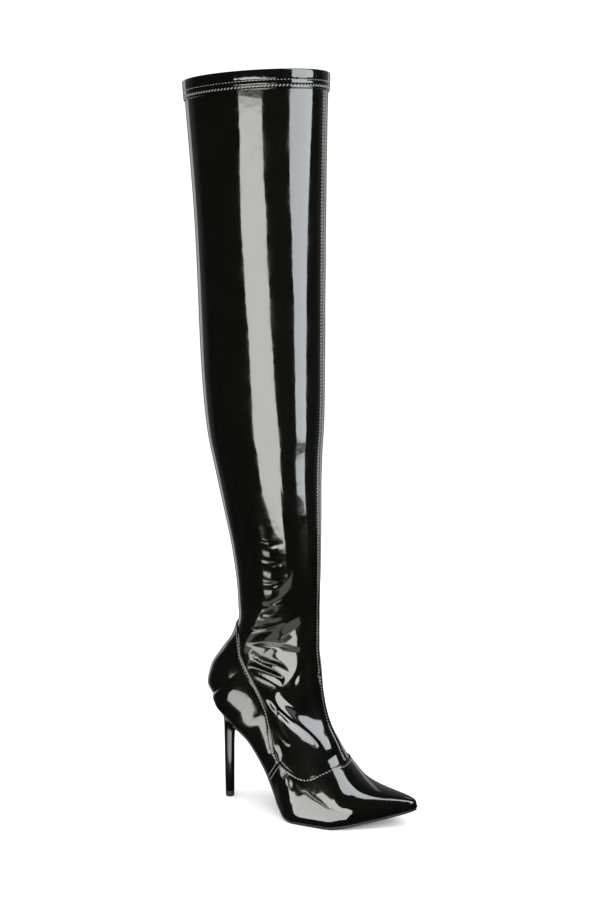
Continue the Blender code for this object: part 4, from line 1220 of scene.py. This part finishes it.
def zip_pieces():
    heights = np.arange(ZIP_BOTTOM - 0.002, ZIP_TOP + 0.005, 0.0018)
    across = np.linspace(-TAPE_WIDTH / 2, TAPE_WIDTH / 2, 15)
    z = np.repeat(heights[:, None], len(across), axis=1)
    x = zip_middle(z) + across[None, :]
    station, around = side_spot(x, z)
    base, outs = surface(station, around), outward(station, around)
    ridge = 0.0005 * np.exp(-((np.abs(across) - 0.0034) / 0.0006) ** 2)
    tape = base + outs * (-WALL - GAP + ridge[None, :, None])
    points, faces = loft(list(tape), closed=False)
    mesh_object("zip_tape_cloth", points, faces, TAPE_CLOTH,
                stands_for=["zip_tape"])
    pitch = 0.0014
    heights = np.arange(ZIP_BOTTOM + 0.002, ZIP_TOP - 0.003, pitch)
    points, faces = [], []
    station, around = side_spot(zip_middle(heights), heights)
    base, outs = surface(station, around), outward(station, around)
    ups = np.gradient(base, axis=0)
    ups /= np.linalg.norm(ups, axis=1, keepdims=True)
    for number, (spot, out, up) in enumerate(zip(base, outs, ups)):
        side = np.cross(out, up)
        way = 1 if number % 2 else -1
        start = sum(len(item) for item in points)
        rings = []
        for step in np.linspace(0, 1, 5):
            centre = (spot + side * way * (-0.0004 + 0.0026 * step) + out * (0.0004 - WALL)
                      + out * 0.0004 * math.sin(step * math.pi) + up * 0.0002 * way)
            radius = 0.00046 if 0 < step < 1 else 0.00032
            turn = np.arange(6) * math.pi / 3
            rings.append(centre + radius * (np.cos(turn)[:, None] * out
                                            + np.sin(turn)[:, None] * up))
        tooth, tooth_faces = loft(rings, caps=True)
        points.append(tooth)
        faces += [tuple(index + start for index in face) for face in tooth_faces]
    mesh_object("zip_teeth", np.vstack(points), faces, TIP_RUBBER,
                stands_for=["zip_coil"])
    for side in (-1, 1):
        for group, away, start, top in ZIP_ROWS:
            zip_row(group, np.arange(ZIP_BOTTOM + start, ZIP_TOP + top, 0.002), side * away)
    for group, away, _, top in ZIP_ROWS:
        zip_row(group, np.full(24, ZIP_TOP + top), np.linspace(-away, away, 24))


zip_pieces()
place_stitches()

# Solids that stay as they are, in their own finishes

for node, finish, slot in (("insole", INSOLE_CLOTH, "insole_fabric"),
                           ("zip_slider", METAL, "zip_metal_black"),
                           ("zip_pull", METAL, "zip_metal_black")):
    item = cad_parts[node]
    item.data.materials.clear()
    item.data.materials.append(finish)


# Stage: floor, light panels and camera


def glow(name, colour, strength):
    made = bpy.data.materials.new(name)
    made.use_nodes = True
    nodes, links = made.node_tree.nodes, made.node_tree.links
    nodes.clear()
    light = nodes.new("ShaderNodeEmission")
    light.inputs["Color"].default_value = (*colour, 1)
    light.inputs["Strength"].default_value = strength
    out = nodes.new("ShaderNodeOutputMaterial")
    links.new(light.outputs[0], out.inputs["Surface"])
    return made


def stage_mesh(name, points, faces, finish, camera=True, glossy=True, diffuse=True):
    mesh = bpy.data.meshes.new(name)
    mesh.from_pydata([tuple(point) for point in points], [], faces)
    mesh.materials.append(finish)
    item = bpy.data.objects.new(name, mesh)
    bpy.context.scene.collection.objects.link(item)
    item.visible_camera = camera
    item.visible_glossy = glossy
    item.visible_diffuse = diffuse
    return item


def reflector(name, points, faces, colour, strength, diffuse=True):
    """A glowing mesh that the camera doesn't see and that casts no shadow."""
    item = stage_mesh(name, points, faces, glow(name, colour, strength), camera=False,
                      diffuse=diffuse)
    item.visible_shadow = False


def panel(name, edges, far, colour, strength):
    """A light panel round the boot: rows of (height, left azimuth, right azimuth)."""
    points, faces = [], []
    parts = 7
    for height, left, right in edges:
        for azimuth in np.radians(np.linspace(left, right, parts)):
            points.append((0.06 + far * math.sin(azimuth), -far * math.cos(azimuth), height))
    for row in range(len(edges) - 1):
        for index in range(parts - 1):
            a = row * parts + index
            faces.append((a, a + 1, a + parts + 1, a + parts))
    reflector(name, points, faces, colour, strength)


# Bright places on the floor that only show in the patent: outlines in millimetres

FLOOR_GLOWS = [
    ("front_glow", [(-36, -118), (-22, -103), (20, -86), (89, -50), (150, -50), (200, -115),
                    (240, -270), (30, -270), (10, -200), (-25, -140)], 5.6),
    ("back_glow", [(-28, -63), (-48, -98), (-84, -138), (-130, -190), (-165, -225),
                   (-150, -262), (-88, -230), (-57, -176), (-44, -120)], 4.4),
    ("far_glow", [(-120, -330), (130, -330), (190, -300), (300, -470), (60, -520),
                  (-40, -430), (-120, -430)], 0.8),
    ("ankle_glow", [(-110, -430), (-40, -430), (60, -520), (70, -640), (-70, -640),
                    (-120, -560)], 5.0),
]

# Boards beside the foot, seen from its side in millimetres, with their strength. They
# shape the highlights on the instep, the ankle and the calf.

BOARD_Y = -0.13
BOARDS = [
    ("instep_board", [(-15, 44), (25, 30), (60, 30), (82, 33), (97, 39), (116, 58), (132, 57),
                      (216, 73), (232, 118), (190, 134), (115, 124), (55, 114), (25, 105),
                      (-15, 100)], 0),
    ("ankle_board", [(88, 153), (210, 153), (210, 190), (88, 190)], 0.8),
] + [
    ("ripple_board_" + letter, [(-70, low), (110, low), (110, high), (-70, high)], 0.0)
    for letter, low, high in (("a", 169, 186), ("b", 195, 205), ("c", 210, 226),
                              ("d", 231, 241))
]


def stage():
    floor_finish = material("floor", (0.9, 0.9, 0.9), 0.9)
    size = 6.0
    stage_mesh("floor", [(-size, -size, 0), (size, -size, 0), (size, size, 0),
                         (-size, size, 0)], [(0, 1, 2, 3)], floor_finish, glossy=False)
    panel("key_panel", [(0.79, -14, 18), (0.70, -14, 19), (0.57, -15, 22), (0.41, -12, 26),
                        (0.23, -8, 32), (0.0, -6, 38), (-0.18, 0, 45), (-0.34, 15, 40)],
          1.6, (1.0, 1.0, 0.97), 6.2)
    panel("side_panel", [(6.4, 75, 110), (4.0, 72, 104), (2.5, 66, 103), (1.25, 64, 106),
                         (0.76, 61, 110), (0.41, 70, 100), (0.2, 73, 98), (0.05, 74, 100),
                         (-0.06, 77, 100)],
          1.6, (0.92, 0.97, 1.0), 5.6)
    panel("back_panel", [(2.0, 232, 246), (-1.2, 232, 246)], 1.6, (1.0, 1.0, 1.0), 0.7)
    panel("inner_panel", [(2.0, 168, 176), (-1.2, 168, 176)], 1.6, (1.0, 1.0, 1.0), 0.7)
    for number, (name, outline, strength) in enumerate(BOARDS):
        away = BOARD_Y + 0.0002 * number
        reflector(name, [(x / 1000, away, z / 1000) for x, z in outline],
                  [tuple(range(len(outline)))], (1, 1, 1), strength, diffuse=False)
    reflector("side_board", [(0.45, -0.5, -0.6), (0.45, 0.5, -0.6), (0.45, 0.5, 0.165),
                             (0.45, -0.5, 0.165)], [(0, 1, 2, 3)], (1, 1, 1), 0.0,
              diffuse=False)
    for name, outline, strength in FLOOR_GLOWS:
        reflector(name, [(x / 1000, y / 1000, 0.0002) for x, y in outline],
                  [tuple(range(len(outline)))], (1.0, 1.0, 0.97), strength, diffuse=False)

    lamp = bpy.data.lights.new("overhead", "AREA")
    lamp.shape = "DISK"
    lamp.size = 1.6
    lamp.energy = 26
    top = bpy.data.objects.new("overhead", lamp)
    top.location = (-0.3, -0.3, 2.2)
    top.visible_glossy = False
    top.visible_camera = False
    bpy.context.scene.collection.objects.link(top)

    world = bpy.data.worlds.new("studio")
    bpy.context.scene.world = world
    world.use_nodes = True
    nodes, links = world.node_tree.nodes, world.node_tree.links
    back = nodes["Background"]
    back.inputs["Color"].default_value = (1, 1, 1, 1)
    back.inputs["Strength"].default_value = 1.2
    dark = nodes.new("ShaderNodeBackground")
    dark.inputs["Color"].default_value = (1, 1, 0.97, 1)
    place = nodes.new("ShaderNodeTexCoord")
    behind = nodes.new("ShaderNodeVectorMath")
    behind.operation = "DOT_PRODUCT"
    behind.inputs[1].default_value = (-0.36, 0.93, 0)
    share = nodes.new("ShaderNodeMapRange")
    share.inputs["From Min"].default_value = 0.35
    share.inputs["From Max"].default_value = 0.95
    share.inputs["To Min"].default_value = 0.012
    share.inputs["To Max"].default_value = 0.20
    links.new(place.outputs["Generated"], behind.inputs[0])
    links.new(behind.outputs["Value"], share.inputs["Value"])
    links.new(share.outputs["Result"], dark.inputs["Strength"])
    path = nodes.new("ShaderNodeLightPath")
    mix = nodes.new("ShaderNodeMixShader")
    links.new(path.outputs["Is Glossy Ray"], mix.inputs["Fac"])
    links.new(back.outputs[0], mix.inputs[1])
    links.new(dark.outputs[0], mix.inputs[2])
    links.new(mix.outputs[0], nodes["World Output"].inputs["Surface"])


def camera():
    """The photograph's viewpoint, turned and zoomed so that the one boot fills the frame."""
    data = bpy.data.cameras.new("camera")
    data.sensor_width = 36
    data.lens = 55.6
    item = bpy.data.objects.new("camera", data)
    item.location = (0.59180, -1.21337, 0.592)
    aim = Vector((0.0780, 0.0, 0.3650))
    item.rotation_euler = (aim - item.location).to_track_quat("-Z", "Y").to_euler()
    bpy.context.scene.collection.objects.link(item)
    bpy.context.scene.camera = item


stage()
camera()
bpy.context.scene.view_settings.view_transform = "Standard"
